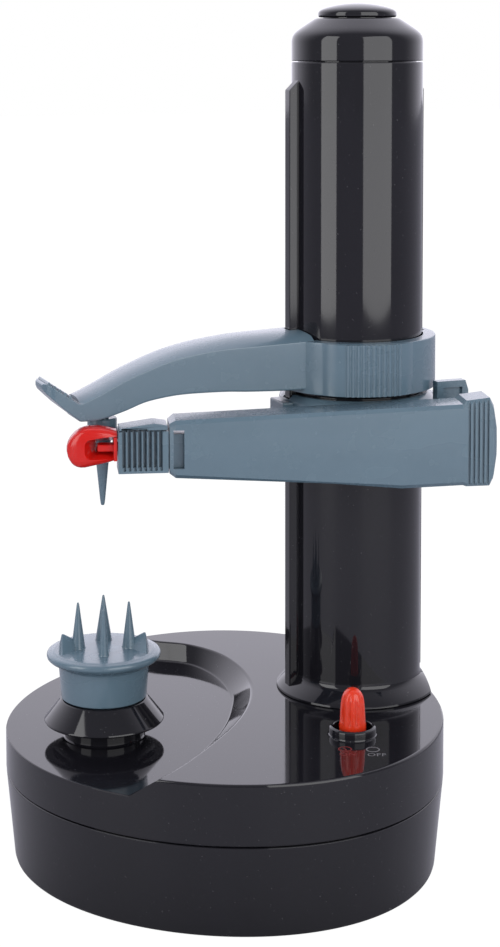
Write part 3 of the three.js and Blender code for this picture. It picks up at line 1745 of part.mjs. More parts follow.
add('gearbox_plate', gearboxPlate(), white, 0.5);
for (const [name, x, y, high] of axlePlaces) {
  add(name, axle(x, y, high), steel, 0.3, 1);
}
add('motor', motor(), darkSteel, 0.35, 0.9);
add('motor_shaft', motorShaftRod(), steel, 0.3, 1);
add('motor_pinion', motorPinion(), brass, 0.35, 0.9);
add('reduction_gear', reductionGear(), white, 0.5);
add('idler_gear_1', idlerGear(idlerOneTeeth, idlerOnePhase, idlerOneX), white, 0.5);
add('idler_gear_2', idlerGear(idlerTwoTeeth, idlerTwoPhase, idlerTwoX), white, 0.5);
add('spindle_gear', gear(spindleTeeth, 0, lowerFace, 0, 0, spindleRadius + clearance), white, 0.5);
const screwGearBore = journalRadius + clearance;
add('screw_gear', gear(screwTeeth, screwPhase, lowerFace, columnSpacing, 0, screwGearBore), white, 0.5);

add('drive_spindle', cylinder(spindleRadius, screwLow, spindleTop, 0, 0, smallSides), steel, 0.3, 1);
add('spindle_bush', spindleBush(), brass, 0.4, 0.9);
add('food_skirt', foodSkirt(), black, 0.15);
add('food_holder', foodHolder(), blueGrey, 0.35);

add('switch_body', switchBody(), black, 0.5);
add('switch_pin', crossPin(switchPinRadius, leverRadius + switchEar + clearance), steel, 0.3, 1);
add('switch_lever', switchLever(), leverRed, 0.25);

add('column_tube', columnTube(), black, 0.12);
for (const side of [-1, 1]) {
  const y = side * columnScrewRing;
  const headTop = baseTop - deckThickness - clearance;
  add(
    side < 0 ? 'column_screw_1' : 'column_screw_2',
    pointedScrew(columnSpacing, y, headTop - screwHeadHeight, screwHeadHeight + tubeFootHeight),
    darkSteel, 0.4, 0.9,
  );
}
add('column_cap', columnCap(), black, 0.12);
add('top_button', topButton(), black, 0.15);
add('button_spring', buttonSpring(), steel, 0.3, 1);
add('lead_screw', leadScrew(), steel, 0.35, 1);

add('carriage', carriage(), blueGrey, 0.35);
add('lead_nut', leadNut(), white, 0.5);
add('arm_pivot_pin', pivotPin(), steel, 0.3, 1);
add('arm_torsion_spring', torsionSpring(), steel, 0.3, 1);
add('peeling_arm', peelingArm(), blueGrey, 0.35);
add('blade_block', bladeBlock(), blueGrey, 0.4);
add('block_cover', blockCover(), blueGrey, 0.4);
add('blade_guard', bladeGuard(), red, 0.25);
add('blade', blade(), steel, 0.2, 1);

add('upper_arm', upperArm(), blueGrey, 0.35);
add('upper_spike', upperSpike(), blueGrey, 0.4);

// The origin is the middle of the footprint, on the surface that the feet stand on.
model.updateMatrixWorld(true);
const extent = new THREE.Box3().setFromObject(model, true);
model.position.set(-(extent.min.x + extent.max.x) / 2, -(extent.min.y + extent.max.y) / 2, -extent.min.z);
model.updateMatrixWorld(true);

export default model;
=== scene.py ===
# %% [markdown]
# # An electric potato peeler
# The machine stands on a wide black base. A powered holder turns the food, and a column carries a
# peeling arm down past it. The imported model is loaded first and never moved: it is the frame that
# every finer piece is built against. Lengths are typed in millimetres and measured from the food
# holder's axis, on the floor, because that is how the machine itself is laid out.

# %% Load the frame
import json
import math

import bpy
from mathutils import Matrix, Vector

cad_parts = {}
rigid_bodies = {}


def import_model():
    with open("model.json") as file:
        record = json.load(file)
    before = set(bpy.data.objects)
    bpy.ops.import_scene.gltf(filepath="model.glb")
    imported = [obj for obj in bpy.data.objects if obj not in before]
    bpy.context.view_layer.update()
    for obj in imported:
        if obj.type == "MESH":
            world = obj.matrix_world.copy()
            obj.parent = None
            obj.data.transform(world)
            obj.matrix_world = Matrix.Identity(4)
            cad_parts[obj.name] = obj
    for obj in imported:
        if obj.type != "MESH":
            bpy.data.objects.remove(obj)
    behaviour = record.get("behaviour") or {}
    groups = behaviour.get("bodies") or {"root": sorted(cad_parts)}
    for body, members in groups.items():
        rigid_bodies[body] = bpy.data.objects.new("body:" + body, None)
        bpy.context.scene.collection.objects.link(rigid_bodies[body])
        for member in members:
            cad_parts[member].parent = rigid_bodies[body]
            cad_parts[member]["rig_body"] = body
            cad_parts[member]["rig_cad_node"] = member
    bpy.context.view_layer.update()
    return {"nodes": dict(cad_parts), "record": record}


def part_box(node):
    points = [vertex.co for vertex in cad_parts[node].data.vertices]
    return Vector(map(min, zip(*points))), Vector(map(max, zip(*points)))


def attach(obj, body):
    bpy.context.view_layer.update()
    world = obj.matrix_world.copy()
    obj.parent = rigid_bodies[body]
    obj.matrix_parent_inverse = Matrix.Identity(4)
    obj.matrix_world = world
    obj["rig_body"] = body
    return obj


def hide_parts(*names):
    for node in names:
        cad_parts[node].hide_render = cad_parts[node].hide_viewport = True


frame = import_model()
MM = 0.001


def middle_of(node):
    """The middle of a node's box."""
    low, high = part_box(node)
    return (low + high) / 2


HOLDER = middle_of("food_skirt")
COLUMN = (middle_of("column_cap") - HOLDER) / MM
BASE = ((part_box("base_lower_shell")[0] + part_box("base_lower_shell")[1]) / 2 - HOLDER) / MM


def spot(x, y, z):
    """A point given in millimetres from the holder's axis, on the floor."""
    return Vector((HOLDER.x + x * MM, HOLDER.y + y * MM, z * MM))


print("column axis", round(COLUMN.x, 2), "base middle", round(BASE.x, 2))

# %% [markdown]
# ## The camera
# The photograph is a product shot from slightly above, taken far away with a long lens. The view
# is shifted down rather than tilted, which keeps the column upright, as a shift lens does.

# %% Camera
camera = bpy.data.objects.new("camera", bpy.data.cameras.new("camera"))
bpy.context.scene.collection.objects.link(camera)
bpy.context.scene.camera = camera
camera.location = spot(-178.8, -604.4, 271.1)
camera.rotation_euler = (math.radians(90 - 4.584), math.radians(0.1), math.radians(-20.51))
camera.data.sensor_width = 36
camera.data.lens = 74.6
camera.data.shift_x = 0.0127
camera.data.shift_y = -0.2942
camera.data.clip_start = 0.01
print("camera at", [round(v, 3) for v in camera.location])

# %% [markdown]
# ## The studio
# Glossy black plastic has almost no colour of its own. What the eye reads on it is the room. The
# photograph shows a very bright backdrop, which the deck mirrors, a dim room in front, and two
# tall soft boxes that draw upright bands down the column. The backdrop is burnt out to white, so
# what the camera sees directly is white, and only mirrors and shade get the darker room.

# %% Surround
world = bpy.data.worlds.new("surround")
world.use_nodes = True
room = world.node_tree.nodes
links = world.node_tree.links
direction = room.new("ShaderNodeTexCoord").outputs["Generated"]
behind = room.new("ShaderNodeVectorMath")
behind.operation = "DOT_PRODUCT"
behind.inputs[1].default_value = (0.34, 0.9, 0.28)
links.new(direction, behind.inputs[0])
fade = room.new("ShaderNodeMapRange")
fade.interpolation_type = "SMOOTHSTEP"
fade.inputs["From Min"].default_value = -0.1
fade.inputs["From Max"].default_value = 0.75
links.new(behind.outputs["Value"], fade.inputs["Value"])
tone = room.new("ShaderNodeMix")
tone.data_type = "RGBA"
tone.inputs[6].default_value = (0.3, 0.3, 0.34, 1)
tone.inputs[7].default_value = (1.45, 1.42, 1.6, 1)
links.new(fade.outputs["Result"], tone.inputs["Factor"])
lit = room["Background"]
links.new(tone.outputs[2], lit.inputs["Color"])
white = room.new("ShaderNodeBackground")
white.inputs["Color"].default_value = (1, 1, 1, 1)
seen = room.new("ShaderNodeLightPath").outputs["Is Camera Ray"]
either = room.new("ShaderNodeMixShader")
links.new(seen, either.inputs["Fac"])
links.new(lit.outputs["Background"], either.inputs[1])
links.new(white.outputs["Background"], either.inputs[2])
links.new(either.outputs["Shader"], room["World Output"].inputs["Surface"])
bpy.context.scene.world = world
bpy.context.scene.view_settings.view_transform = "Standard"
print("surround made")

# %% [markdown]
# ### Floor and soft boxes
# Each soft box stands where its reflection falls on the column in the photograph: a surface that
# faces half way between the lens and a box shows that box.

# %% Floor and soft boxes
bpy.ops.object.select_all(action="DESELECT")
bpy.ops.mesh.primitive_plane_add(size=12, location=(0, 0, -0.0005))
floor = bpy.context.object
floor.name = "floor"


def soft_box(name, turn, distance, middle, width, height, power):
    """An upright area light, turned round the column from the lens's side, facing the column."""
    across = math.radians(-90 - 20.5 + turn)
    column = spot(COLUMN.x, COLUMN.y, 0)
    place = column + Vector((math.cos(across) * distance, math.sin(across) * distance, middle))
    light = bpy.data.lights.new(name, "AREA")
    light.shape = "RECTANGLE"
    light.size = width
    light.size_y = height
    light.energy = power
    panel = bpy.data.objects.new(name, light)
    bpy.context.scene.collection.objects.link(panel)
    panel.location = place
    panel.rotation_euler = (column + Vector((0, 0, middle)) - place).to_track_quat("-Z", "Y").to_euler()
    return panel


soft_box("box_left", -53, 0.9, 0.55, 0.46, 1.0, 4.2)
soft_box("box_right", 33, 0.9, 0.55, 0.86, 1.0, 6.6)
print("soft boxes made")

# %% [markdown]
# ## Writing shaders as sums
# A finish is easier to read as arithmetic than as a tangle of nodes. `Value` wraps a socket, so
# `1 - mask` adds the Math node by itself. `Finish` owns one material and makes every other node.

# %% Shader helpers


class Value:
    """A node's output that can be added, subtracted and multiplied like a number."""

    def __init__(self, finish, socket):
        self.finish = finish
        self.socket = socket

    def sum_with(self, operation, first, second):
        made = self.finish.node("ShaderNodeMath", {"operation": operation}, {0: first, 1: second})
        return made["Value"]

    def __add__(self, other):
        return self.sum_with("ADD", self, other)

    def __sub__(self, other):
        return self.sum_with("SUBTRACT", self, other)

    def __mul__(self, other):
        return self.sum_with("MULTIPLY", self, other)

    def __rsub__(self, other):
        return self.sum_with("SUBTRACT", other, self)

    def __gt__(self, other):
        return self.sum_with("GREATER_THAN", self, other)

    __radd__ = __add__
    __rmul__ = __mul__


class Finish:
    """One material, wired up from Python."""

    def __init__(self, name, colour, roughness, **constants):
        self.material = bpy.data.materials.new(name)
        self.material.use_nodes = True
        self.tree = self.material.node_tree
        self.shader = self.tree.nodes["Principled BSDF"]
        self.shader.inputs["Base Color"].default_value = (*colour, 1)
        self.shader.inputs["Roughness"].default_value = roughness
        for socket, number in constants.items():
            self.shader.inputs[socket.replace("_", " ")].default_value = number

    def node(self, kind, settings, inputs):
        """Adds a node: its settings first, then the values or links of its sockets."""
        made = self.tree.nodes.new(kind)
        for name, setting in settings.items():
            if name == "stops":
                for stop, (position, colour) in zip(made.color_ramp.elements, setting):
                    stop.position = position
                    stop.color = colour
            else:
                setattr(made, name, setting)
        for socket, given in inputs.items():
            if isinstance(given, Value):
                self.tree.links.new(given.socket, made.inputs[socket])
            else:
                made.inputs[socket].default_value = given
        return {output.name: Value(self, output) for output in made.outputs if output.enabled}

    def place(self, scale=(1, 1, 1)):
        """Object coordinates, stretched by a scale."""
        here = self.node("ShaderNodeTexCoord", {}, {})["Object"]
        return self.node("ShaderNodeMapping", {}, {"Vector": here, "Scale": scale})["Vector"]

    def noise(self, scale, detail=2.0, stretch=(1, 1, 1)):
        """Soft noise from 0 to 1, with about so many blobs to the metre."""
        made = self.node(
            "ShaderNodeTexNoise", {},
            {"Vector": self.place(stretch), "Scale": scale, "Detail": detail},
        )
        return made["Fac"]

    def between(self, low, high, value):
        """0 below low, 1 above high, and smooth between them."""
        made = self.node(
            "ShaderNodeMapRange", {"interpolation_type": "SMOOTHSTEP"},
            {"Value": value, "From Min": low, "From Max": high},
        )
        return made["Result"]

    def mix(self, factor, first, second):
        """One colour fading into another."""
        made = self.node(
            "ShaderNodeMix", {"data_type": "RGBA"},
            {"Factor": factor, 6: (*first, 1) if isinstance(first, tuple) else first,
             7: (*second, 1) if isinstance(second, tuple) else second},
        )
        return made["Result"]

    def feed(self, **links):
        """Joins values to the shader's own sockets."""
        for socket, given in links.items():
            self.tree.links.new(given.socket, self.shader.inputs[socket.replace("_", " ")])

    def bump(self, height, distance, strength=1.0):
        """Turns a height into a slope that the light catches."""
        made = self.node(
            "ShaderNodeBump", {},
            {"Height": height, "Distance": distance, "Strength": strength},
        )
        self.feed(Normal=made["Normal"])


# %% [markdown]
# ## Polished black plastic
# The housing is moulded in a polished tool, so it mirrors the room. Three things keep it from
# looking like a computer's mirror: the skin is very slightly wavy, fine wiping marks change the
# gloss, and a few specks of dust lie on it.

# %% Black finishes


def polished_black(name, colour, gloss):
    """Glossy moulded black with waves, wiping marks and dust."""
    finish = Finish(name, colour, gloss, Specular_IOR_Level=0.5)
    smears = finish.noise(60, 4, (1, 1, 0.25))
    dust = finish.between(0.74, 0.8, finish.noise(1500, 1))
    faint = finish.mix(smears, colour, tuple(c * 1.5 for c in colour))
    finish.feed(Base_Color=finish.mix(dust * 0.12, faint, (0.5, 0.5, 0.52)))
    finish.feed(Roughness=gloss + 0.05 * smears + 0.25 * dust)
    finish.bump(finish.noise(30, 1) + 0.004 * finish.noise(1800, 1), 0.0002, 0.1)
    return finish.material


gloss_black = polished_black("gloss_black", (0.0075, 0.0073, 0.0095), 0.04)
deep_black = polished_black("deep_black", (0.006, 0.006, 0.008), 0.16)
print("black finishes made")

# %% [markdown]
# ## Blue-grey, red and lever plastics
# The arms are a satin blue-grey. Satin comes from a fine spark texture in the mould, so the bump
# is tiny and close, and the colour drifts a little where the plastic flowed. The red blade head
# and the lever are the same idea with more gloss, and edges that glow a little, because light
# travels inside bright plastic.

# %% Coloured plastics


def moulded(name, colour, gloss, grain, drift=0.12, **constants):
    """Coloured moulded plastic with spark texture, flow marks and handling marks."""
    finish = Finish(name, colour, gloss, **constants)
    flow = finish.noise(28, 3, (1, 1, 2.4))
    marks = finish.between(0.56, 0.74, finish.noise(170, 5))
    dark = tuple(c * (1 - drift) for c in colour)
    light = tuple(min(1.0, c * (1 + drift)) for c in colour)
    finish.feed(Base_Color=finish.mix(marks * 0.15, finish.mix(flow, dark, light), light))
    finish.feed(Roughness=gloss + 0.06 * flow + 0.04 * marks)
    finish.bump(finish.noise(4200, 2) + 0.6 * finish.noise(900, 2), 0.00004, grain)
    return finish.material


blue_grey = moulded(
    "blue_grey_satin", (0.108, 0.170, 0.214), 0.24, 0.5, Coat_Weight=0.45, Coat_Roughness=0.09,
)
red_gloss = moulded(
    "red_gloss", (0.62, 0.012, 0.008), 0.14, 0.15, 0.08,
    Subsurface_Weight=0.25, Subsurface_Radius=(0.004, 0.0006, 0.0004), Subsurface_Scale=1.0,
)
lever_red = moulded(
    "lever_red", (0.72, 0.045, 0.014), 0.16, 0.15, 0.08,
    Subsurface_Weight=0.35, Subsurface_Radius=(0.005, 0.001, 0.0005), Subsurface_Scale=1.0,
)
white_plastic = moulded("white_nylon", (0.75, 0.72, 0.62), 0.38, 0.4)
rubber = moulded("foot_rubber", (0.018, 0.018, 0.019), 0.75, 0.9)
print("plastics made")

# %% [markdown]
# ## Metals
# Blade steel is ground, shafts are turned, screws are zinc plated. All have fine lines that run
# one way, which is noise squeezed along one axis, and a gloss that changes with the lines.

# %% Metals and battery sleeves


def lined_metal(name, colour, gloss, stretch, depth):
    """Metal with fine machining lines."""
    finish = Finish(name, colour, gloss, Metallic=1.0)
    lines = finish.noise(420, 3, stretch)
    stain = finish.between(0.5, 0.75, finish.noise(130, 4))
    finish.feed(Base_Color=finish.mix(stain * 0.35, colour, tuple(c * 0.72 for c in colour)))
    finish.feed(Roughness=gloss + 0.16 * lines + 0.12 * stain)
    finish.bump(lines, 0.00005, depth)
    return finish.material


ground_steel = lined_metal("ground_steel", (0.62, 0.63, 0.65), 0.16, (1, 1, 14), 0.4)
turned_steel = lined_metal("turned_steel", (0.5, 0.51, 0.53), 0.24, (1, 1, 9), 0.4)
zinc_plate = lined_metal("zinc_plate", (0.36, 0.37, 0.39), 0.34, (1, 1, 1), 0.3)
brass = lined_metal("turned_brass", (0.6, 0.42, 0.18), 0.28, (1, 1, 9), 0.4)


def sleeved_cell():
    """A battery's printed sleeve: dark body, copper shoulder, shown by place along the cell."""
    finish = Finish("cell_sleeve", (0.05, 0.05, 0.055), 0.25)
    axis = finish.node("ShaderNodeSeparateXYZ", {}, {"Vector": finish.place()})["Y"]
    shoulder = finish.between(0.0, 0.0005, axis)
    finish.feed(Base_Color=finish.mix(shoulder, (0.03, 0.035, 0.045), (0.45, 0.24, 0.09)))
    finish.feed(Roughness=0.2 + 0.15 * finish.noise(90, 3))
    finish.feed(Metallic=0.2 + 0.6 * shoulder)
    return finish.material


cell_sleeve = sleeved_cell()
print("metals made")

# %% [markdown]
# ### The floor's finish
# The table in the photograph is burnt out to white with hardly a shadow, yet the glossy base
# mirrors a dim table. So the lens sees a glowing floor with a trace of shadow on it, and every
# other ray meets plain grey.

# %% Floor finish
pale = Finish("pale_floor", (0.42, 0.42, 0.45), 0.7)
pale.feed(Roughness=0.6 + 0.1 * pale.noise(3, 3))
glow = pale.tree.nodes.new("ShaderNodeEmission")
glow.inputs["Color"].default_value = (1, 1, 1, 1)
glow.inputs["Strength"].default_value = 1.08
blend = pale.tree.nodes.new("ShaderNodeMixShader")
seen = pale.node("ShaderNodeLightPath", {}, {})["Is Camera Ray"]
pale.tree.links.new((seen * 0.93).socket, blend.inputs["Fac"])
pale.tree.links.new(pale.shader.outputs["BSDF"], blend.inputs[1])
pale.tree.links.new(glow.outputs["Emission"], blend.inputs[2])
pale.tree.links.new(blend.outputs["Shader"], pale.tree.nodes["Material Output"].inputs["Surface"])
floor.data.materials.append(pale.material)

# %% [markdown]
# ## Ways of shaping
# Nearly every visible piece here is either drawn out ring by ring, as on a lathe, or joined from
# such forms. The helpers below do by script what hands do in edit mode: add a circle, extrude its
# edge, scale the new edge, and choose faces by where they lie.

# %% Shaping helpers


def hold(piece):
    """Leaves only this piece selected and active."""
    if bpy.context.object and bpy.context.object.mode != "OBJECT":
        bpy.ops.object.mode_set(mode="OBJECT")
    bpy.ops.object.select_all(action="DESELECT")
    piece.select_set(True)
    bpy.context.view_layer.objects.active = piece
    return piece


def begin(name, kind, place, **options):
    """Adds a primitive by itself and opens it for editing."""
    bpy.ops.object.select_all(action="DESELECT")
    getattr(bpy.ops.mesh, f"primitive_{kind}_add")(location=place, **options)
    piece = bpy.context.object
    piece.name = name
    bpy.ops.object.mode_set(mode="EDIT")
    return piece


def draw_out(axis, steps):
    """Extrudes the selected edge upwards and scales it, once for each (scale x, scale y, height)."""
    level = None
    for across, along, height, start in steps:
        level = start if level is None else level
        bpy.ops.mesh.extrude_edges_move(
            TRANSFORM_OT_translate={"value": (0, 0, (height - level) * MM)}
        )
        bpy.ops.transform.resize(
            value=(across, along, 1), center_override=(axis.x, axis.y, height * MM)
        )
        level = height


def close_up(piece):
    """Fills open ends, merges doubles and turns every face outwards."""
    hold(piece)
    bpy.ops.object.mode_set(mode="EDIT")
    bpy.ops.mesh.select_all(action="SELECT")
    bpy.ops.mesh.remove_doubles(threshold=0.000002)
    bpy.ops.mesh.select_all(action="DESELECT")
    bpy.ops.mesh.select_mode(type="EDGE")
    bpy.ops.mesh.select_non_manifold()
    bpy.ops.mesh.fill_holes(sides=0)
    bpy.ops.mesh.select_all(action="SELECT")
    bpy.ops.mesh.normals_make_consistent(inside=False)
    bpy.ops.mesh.select_mode(type="VERT")
    bpy.ops.object.mode_set(mode="OBJECT")
    bpy.ops.object.transform_apply(location=True, rotation=True, scale=True)
    return piece


def turned(name, rings, x=0.0, y=0.0, sides=128):
    """A form drawn out ring by ring round an upright axis. Each ring is (radius, height)."""
    axis = spot(x, y, rings[0][1])
    piece = begin(name, "circle", axis, vertices=sides, radius=rings[0][0] * MM)
    bpy.ops.mesh.select_all(action="SELECT")
    steps = [
        (new[0] / old[0], new[0] / old[0], new[1], old[1]) for old, new in zip(rings, rings[1:])
    ]
    draw_out(axis, steps)
    return close_up(piece)


def carve(piece, tool, operation="DIFFERENCE"):
    """Cuts a tool out of a piece, joins it on, or keeps what both share. The tool is used up."""
    hold(piece)
    change = piece.modifiers.new("carve", "BOOLEAN")
    change.operation = operation
    change.object = tool
    change.solver = "EXACT"
    bpy.ops.object.modifier_apply(modifier=change.name)
    bpy.data.objects.remove(tool)
    return piece


def slab(name, low, high):
    """A block between two corners in millimetres from the holder's axis."""
    middle = spot(*[(a + b) / 2 for a, b in zip(low, high)])
    piece = begin(name, "cube", middle, size=1)
    bpy.ops.transform.resize(value=[(b - a) * MM for a, b in zip(low, high)])
    return close_up(piece)


def choose(piece, test):
    """Opens a piece with only those points selected that pass a test on their place in mm."""
    hold(piece)
    for part in (*piece.data.vertices, *piece.data.edges, *piece.data.polygons):
        part.select = False
    for point in piece.data.vertices:
        place = (piece.matrix_world @ point.co - Vector((HOLDER.x, HOLDER.y, 0))) / MM
        point.select = bool(test(place))
    bpy.ops.object.mode_set(mode="EDIT")
    bpy.ops.mesh.select_mode(type="VERT")
    return piece


def soften(piece, width, segments=3, angle=28):
    """Rounds the edges that are sharper than an angle."""
    hold(piece)
    change = piece.modifiers.new("soften", "BEVEL")
    change.width = width * MM
    change.segments = segments
    change.limit_method = "ANGLE"
    change.angle_limit = math.radians(angle)
    change.harden_normals = False
    change.miter_outer = "MITER_ARC"
    bpy.ops.object.modifier_apply(modifier=change.name)
    return piece


def complete(piece, finish, body, nodes=(), smooth=32):
    """Smooths a finished piece, gives it its finish, and hangs it on its body."""
    hold(piece)
    bpy.ops.object.shade_smooth_by_angle(angle=math.radians(smooth))
    change = piece.modifiers.new("flat_faces_stay_flat", "WEIGHTED_NORMAL")
    change.keep_sharp = True
    bpy.ops.object.modifier_apply(modifier=change.name)
    piece.data.materials.clear()
    piece.data.materials.append(finish)
    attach(piece, body)
    if nodes:
        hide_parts(*nodes)
    print(piece.name, "faces", len(piece.data.polygons))
    return piece


def loft(name, sections):
    """Bridges closed sections of points, each a list in millimetres from the holder's axis."""
    count = len(sections[0])
    points = [spot(*point) for section in sections for point in section]
    edges = [
        (level * count + i, level * count + (i + 1) % count)
        for level in range(len(sections)) for i in range(count)
    ]
    mesh = bpy.data.meshes.new(name)
    mesh.from_pydata(points, edges, [])
    piece = bpy.data.objects.new(name, mesh)
    bpy.context.scene.collection.objects.link(piece)
    hold(piece)
    bpy.ops.object.mode_set(mode="EDIT")
    bpy.ops.mesh.select_mode(type="EDGE")
    for level in range(len(sections) - 1):
        bpy.ops.mesh.select_all(action="DESELECT")
        bpy.ops.object.mode_set(mode="OBJECT")
        for edge in edges_between(mesh, level * count, (level + 2) * count):
            edge.select = True
        bpy.ops.object.mode_set(mode="EDIT")
        bpy.ops.mesh.bridge_edge_loops()
    return close_up(piece)


def edges_between(mesh, first, last):
    """The ring edges whose points have numbers from first up to last, without the rungs."""
    size = (last - first) // 2
    return [
        edge for edge in mesh.edges
        if all(first <= v < last for v in edge.vertices)
        and edge.vertices[0] // size == edge.vertices[1] // size
    ]


def smooth_curve(points, steps):
    """Points on a smooth curve through the given ones."""
    padded = [points[0], *points, points[-1]]
    made = []
    for i in range(len(points) - 1):
        p0, p1, p2, p3 = [Vector(p) for p in padded[i : i + 4]]
        for step in range(steps):
            t = step / steps
            made.append(
                0.5 * ((2 * p1) + (p2 - p0) * t + (2 * p0 - 5 * p1 + 4 * p2 - p3) * t * t
                       + (3 * p1 - p0 - 3 * p2 + p3) * t * t * t)
            )
    return [*made, Vector(points[-1])]


def copy_of(node, name):
    """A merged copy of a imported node, its flat areas made whole."""
    hold(frame["nodes"][node])
    bpy.ops.object.duplicate()
    piece = bpy.context.object
    piece.name = name
    piece.parent = None
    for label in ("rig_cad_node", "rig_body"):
        del piece[label]
    bpy.ops.object.mode_set(mode="EDIT")
    bpy.ops.mesh.select_all(action="SELECT")
    bpy.ops.mesh.remove_doubles(threshold=0.000005)
    bpy.ops.mesh.dissolve_limited(angle_limit=math.radians(1.5))
    bpy.ops.object.mode_set(mode="OBJECT")
    return piece


# %% [markdown]
# ## The base
# The base is an egg-shaped tub in two halves, split by a fine parting line. Its outline is a
# circle stretched to an oval; a Simple Deform taper then makes one end fuller, which is quicker
# and cleaner than pushing points. Both halves grow from that outline by extruding and scaling.

# %% Egg-shaped rings
HALF_LENGTH = 71.8
HALF_WIDTH = 77.6
EGG = 0.09


def egg(name, rings, sides=224):
    """A form drawn out from the base's outline. Each ring is (how far outside it, height)."""
    first = rings[0]
    axis = spot(BASE.x, BASE.y, first[1])
    piece = begin(name, "circle", axis, vertices=sides, radius=(HALF_LENGTH + first[0]) * MM)
    bpy.ops.mesh.select_all(action="SELECT")
    across = (HALF_WIDTH + first[0]) / (HALF_LENGTH + first[0])
    bpy.ops.transform.resize(value=(1, across, 1), center_override=axis)
    hold(piece)
    taper = piece.modifiers.new("taper", "SIMPLE_DEFORM")
    taper.deform_method = "TAPER"
    taper.deform_axis = "X"
    taper.factor = 2 * EGG
    bpy.ops.object.modifier_apply(modifier=taper.name)
    bpy.ops.object.mode_set(mode="EDIT")
    bpy.ops.mesh.select_all(action="SELECT")
    steps = [
        ((HALF_LENGTH + new[0]) / (HALF_LENGTH + old[0]),
         (HALF_WIDTH + new[0]) / (HALF_WIDTH + old[0]), new[1], old[1])
        for old, new in zip(rings, rings[1:])
    ]
    draw_out(axis, steps)
    return close_up(piece)


# %% [markdown]
# ### Lower shell
# The tub narrows towards the table by the draft that lets it leave its mould. Inside it has the
# four screw posts and the wall round the batteries; below it has the door's recess.

# %% Lower shell
HOLDER_SIDE = 20
POSTS = [
    (BASE.x + 0.8 * HALF_LENGTH * math.cos(math.radians(a)),
     0.8 * HALF_WIDTH * math.sin(math.radians(a)))
    for a in (42, 135, 225, 318)
]
shell = egg("lower_shell", [
    (-3.8, 1.0), (-3.2, 1.15), (-2.8, 1.55), (-2.6, 2.2), (-0.12, 29.35), (-0.2, 29.6),
    (-0.45, 29.8), (-2.2, 29.8), (-4.75, 3.3), (-5.2, 3.2),
])
battery_low, battery_high = (10.7, -39.1), (70.9, 16.1)
wall = slab("battery_wall", (9.5, -40.3, 1.2), (72.1, 17.3, 15.2))
carve(shell, wall, "UNION")
carve(shell, slab("battery_room", (*battery_low, -1), (*battery_high, 17)))
door_low, door_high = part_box("battery_door")
low = (door_low - HOLDER) / MM
high = (door_high - HOLDER) / MM
carve(shell, slab("door_recess", (low.x - 0.3, low.y - 0.3, -1), (high.x + 0.3, high.y + 0.3, 2.4)))
for x, y in POSTS:
    carve(shell, turned("post", [(3.8, 2), (3.8, 30.1)], x, y, 32), "UNION")
    carve(shell, turned("post_bore", [(2.9, -1), (2.9, 5), (1.6, 5), (1.6, 32)], x, y, 32))
complete(shell, gloss_black, "base", ["base_lower_shell"])

# %% [markdown]
# ### Top cover
# The deck is flat and polished, with a lower tray for peelings. The tray's wall slopes between
# two free curves, so it can't come from a primitive: its two edges are drawn as points, smoothed,
# and bridged into a cutter, which a boolean then takes out of the deck.

# %% Tray cutter
TRAY_TOP = [
    (0.46, 1.031), (0.558, 0.907), (0.703, 0.795), (0.798, 0.624), (0.823, 0.421),
    (0.802, 0.227), (0.751, 0.067), (0.659, -0.106), (0.526, -0.286), (0.347, -0.47),
    (0.16, -0.638), (0.01, -0.751), (-0.125, -0.851),
]
TRAY_FOOT = [
    (0.474, 0.941), (0.565, 0.854), (0.688, 0.755), (0.744, 0.593), (0.752, 0.421),
    (0.717, 0.227), (0.645, 0.067), (0.55, -0.097), (0.436, -0.245), (0.286, -0.406),
    (0.104, -0.548), (-0.084, -0.671), (-0.223, -0.754),
]
TRAY_FLOOR = 43.0
DECK = 49.3


def tray_edge(height, grow):
    """The tray wall's line at a height, moved outwards by grow, closed beyond the base."""
    rise = (height - TRAY_FLOOR) / (DECK - TRAY_FLOOR)
    line = [
        (HALF_LENGTH * (a + rise * (c - a)), HALF_WIDTH * (b + rise * (d - b)), height)
        for (a, b), (c, d) in zip(TRAY_FOOT, TRAY_TOP)
    ]
    curve = smooth_curve(line, 8)
    moved = []
    for i, point in enumerate(curve):
        along = curve[min(i + 1, len(curve) - 1)] - curve[max(i - 1, 0)]
        out = Vector((-along.y, along.x, 0)).normalized()
        moved.append(point + out * grow)
    far = BASE.x - HALF_LENGTH - 60
    return [Vector((far, moved[0].y, height)), *moved, Vector((far, moved[-1].y, height))]


def tray_cutter(grow, floor):
    """The tray's room, as a solid, with the wall rounded at its foot and over its top edge."""
    levels = [
        (floor, -0.55), (floor + 0.08, -0.25), (floor + 0.25, -0.07), (floor + 0.55, 0),
        (DECK - 0.55, 0), (DECK - 0.25, 0.08), (DECK - 0.07, 0.28), (DECK, 0.62), (DECK + 2, 3),
    ]
    return loft("tray_cutter", [tray_edge(height, grow + more) for height, more in levels])


# %% Top cover
cover = egg("top_cover", [
    (-0.45, 30.1), (-0.2, 30.3), (-0.05, 30.55), (0, 31.0), (0, 48.3), (-0.07, 48.7),
    (-0.25, 49.02), (-0.52, 49.22), (-0.9, 49.3),
])
hollow = egg("cover_hollow", [(-2.2, 28), (-2.2, 47.1)], 128)
carve(hollow, tray_cutter(2.2, TRAY_FLOOR - 2.2))
carve(cover, hollow)
carve(cover, tray_cutter(0, TRAY_FLOOR))
neck = turned("neck", [(14.2, 40.9), (14.2, 43.0), (13.4, 43.15), (13.05, 43.6), (13, 44.2),
                       (13, 46.9), (12.7, 47.2)])
carve(cover, neck, "UNION")
SWITCH = (69.2, -44.8)
collar = turned("collar", [
    (8.3, 48.4), (8.3, 49.3), (7.75, 49.42), (7.55, 49.8), (7.5, 51.4), (7.35, 51.85), (7.05, 52.15),
    (6.7, 52.3), (6.4, 52.22), (6.2, 51.95), (6.2, 47),
], *SWITCH, 64)
carve(cover, collar, "UNION")
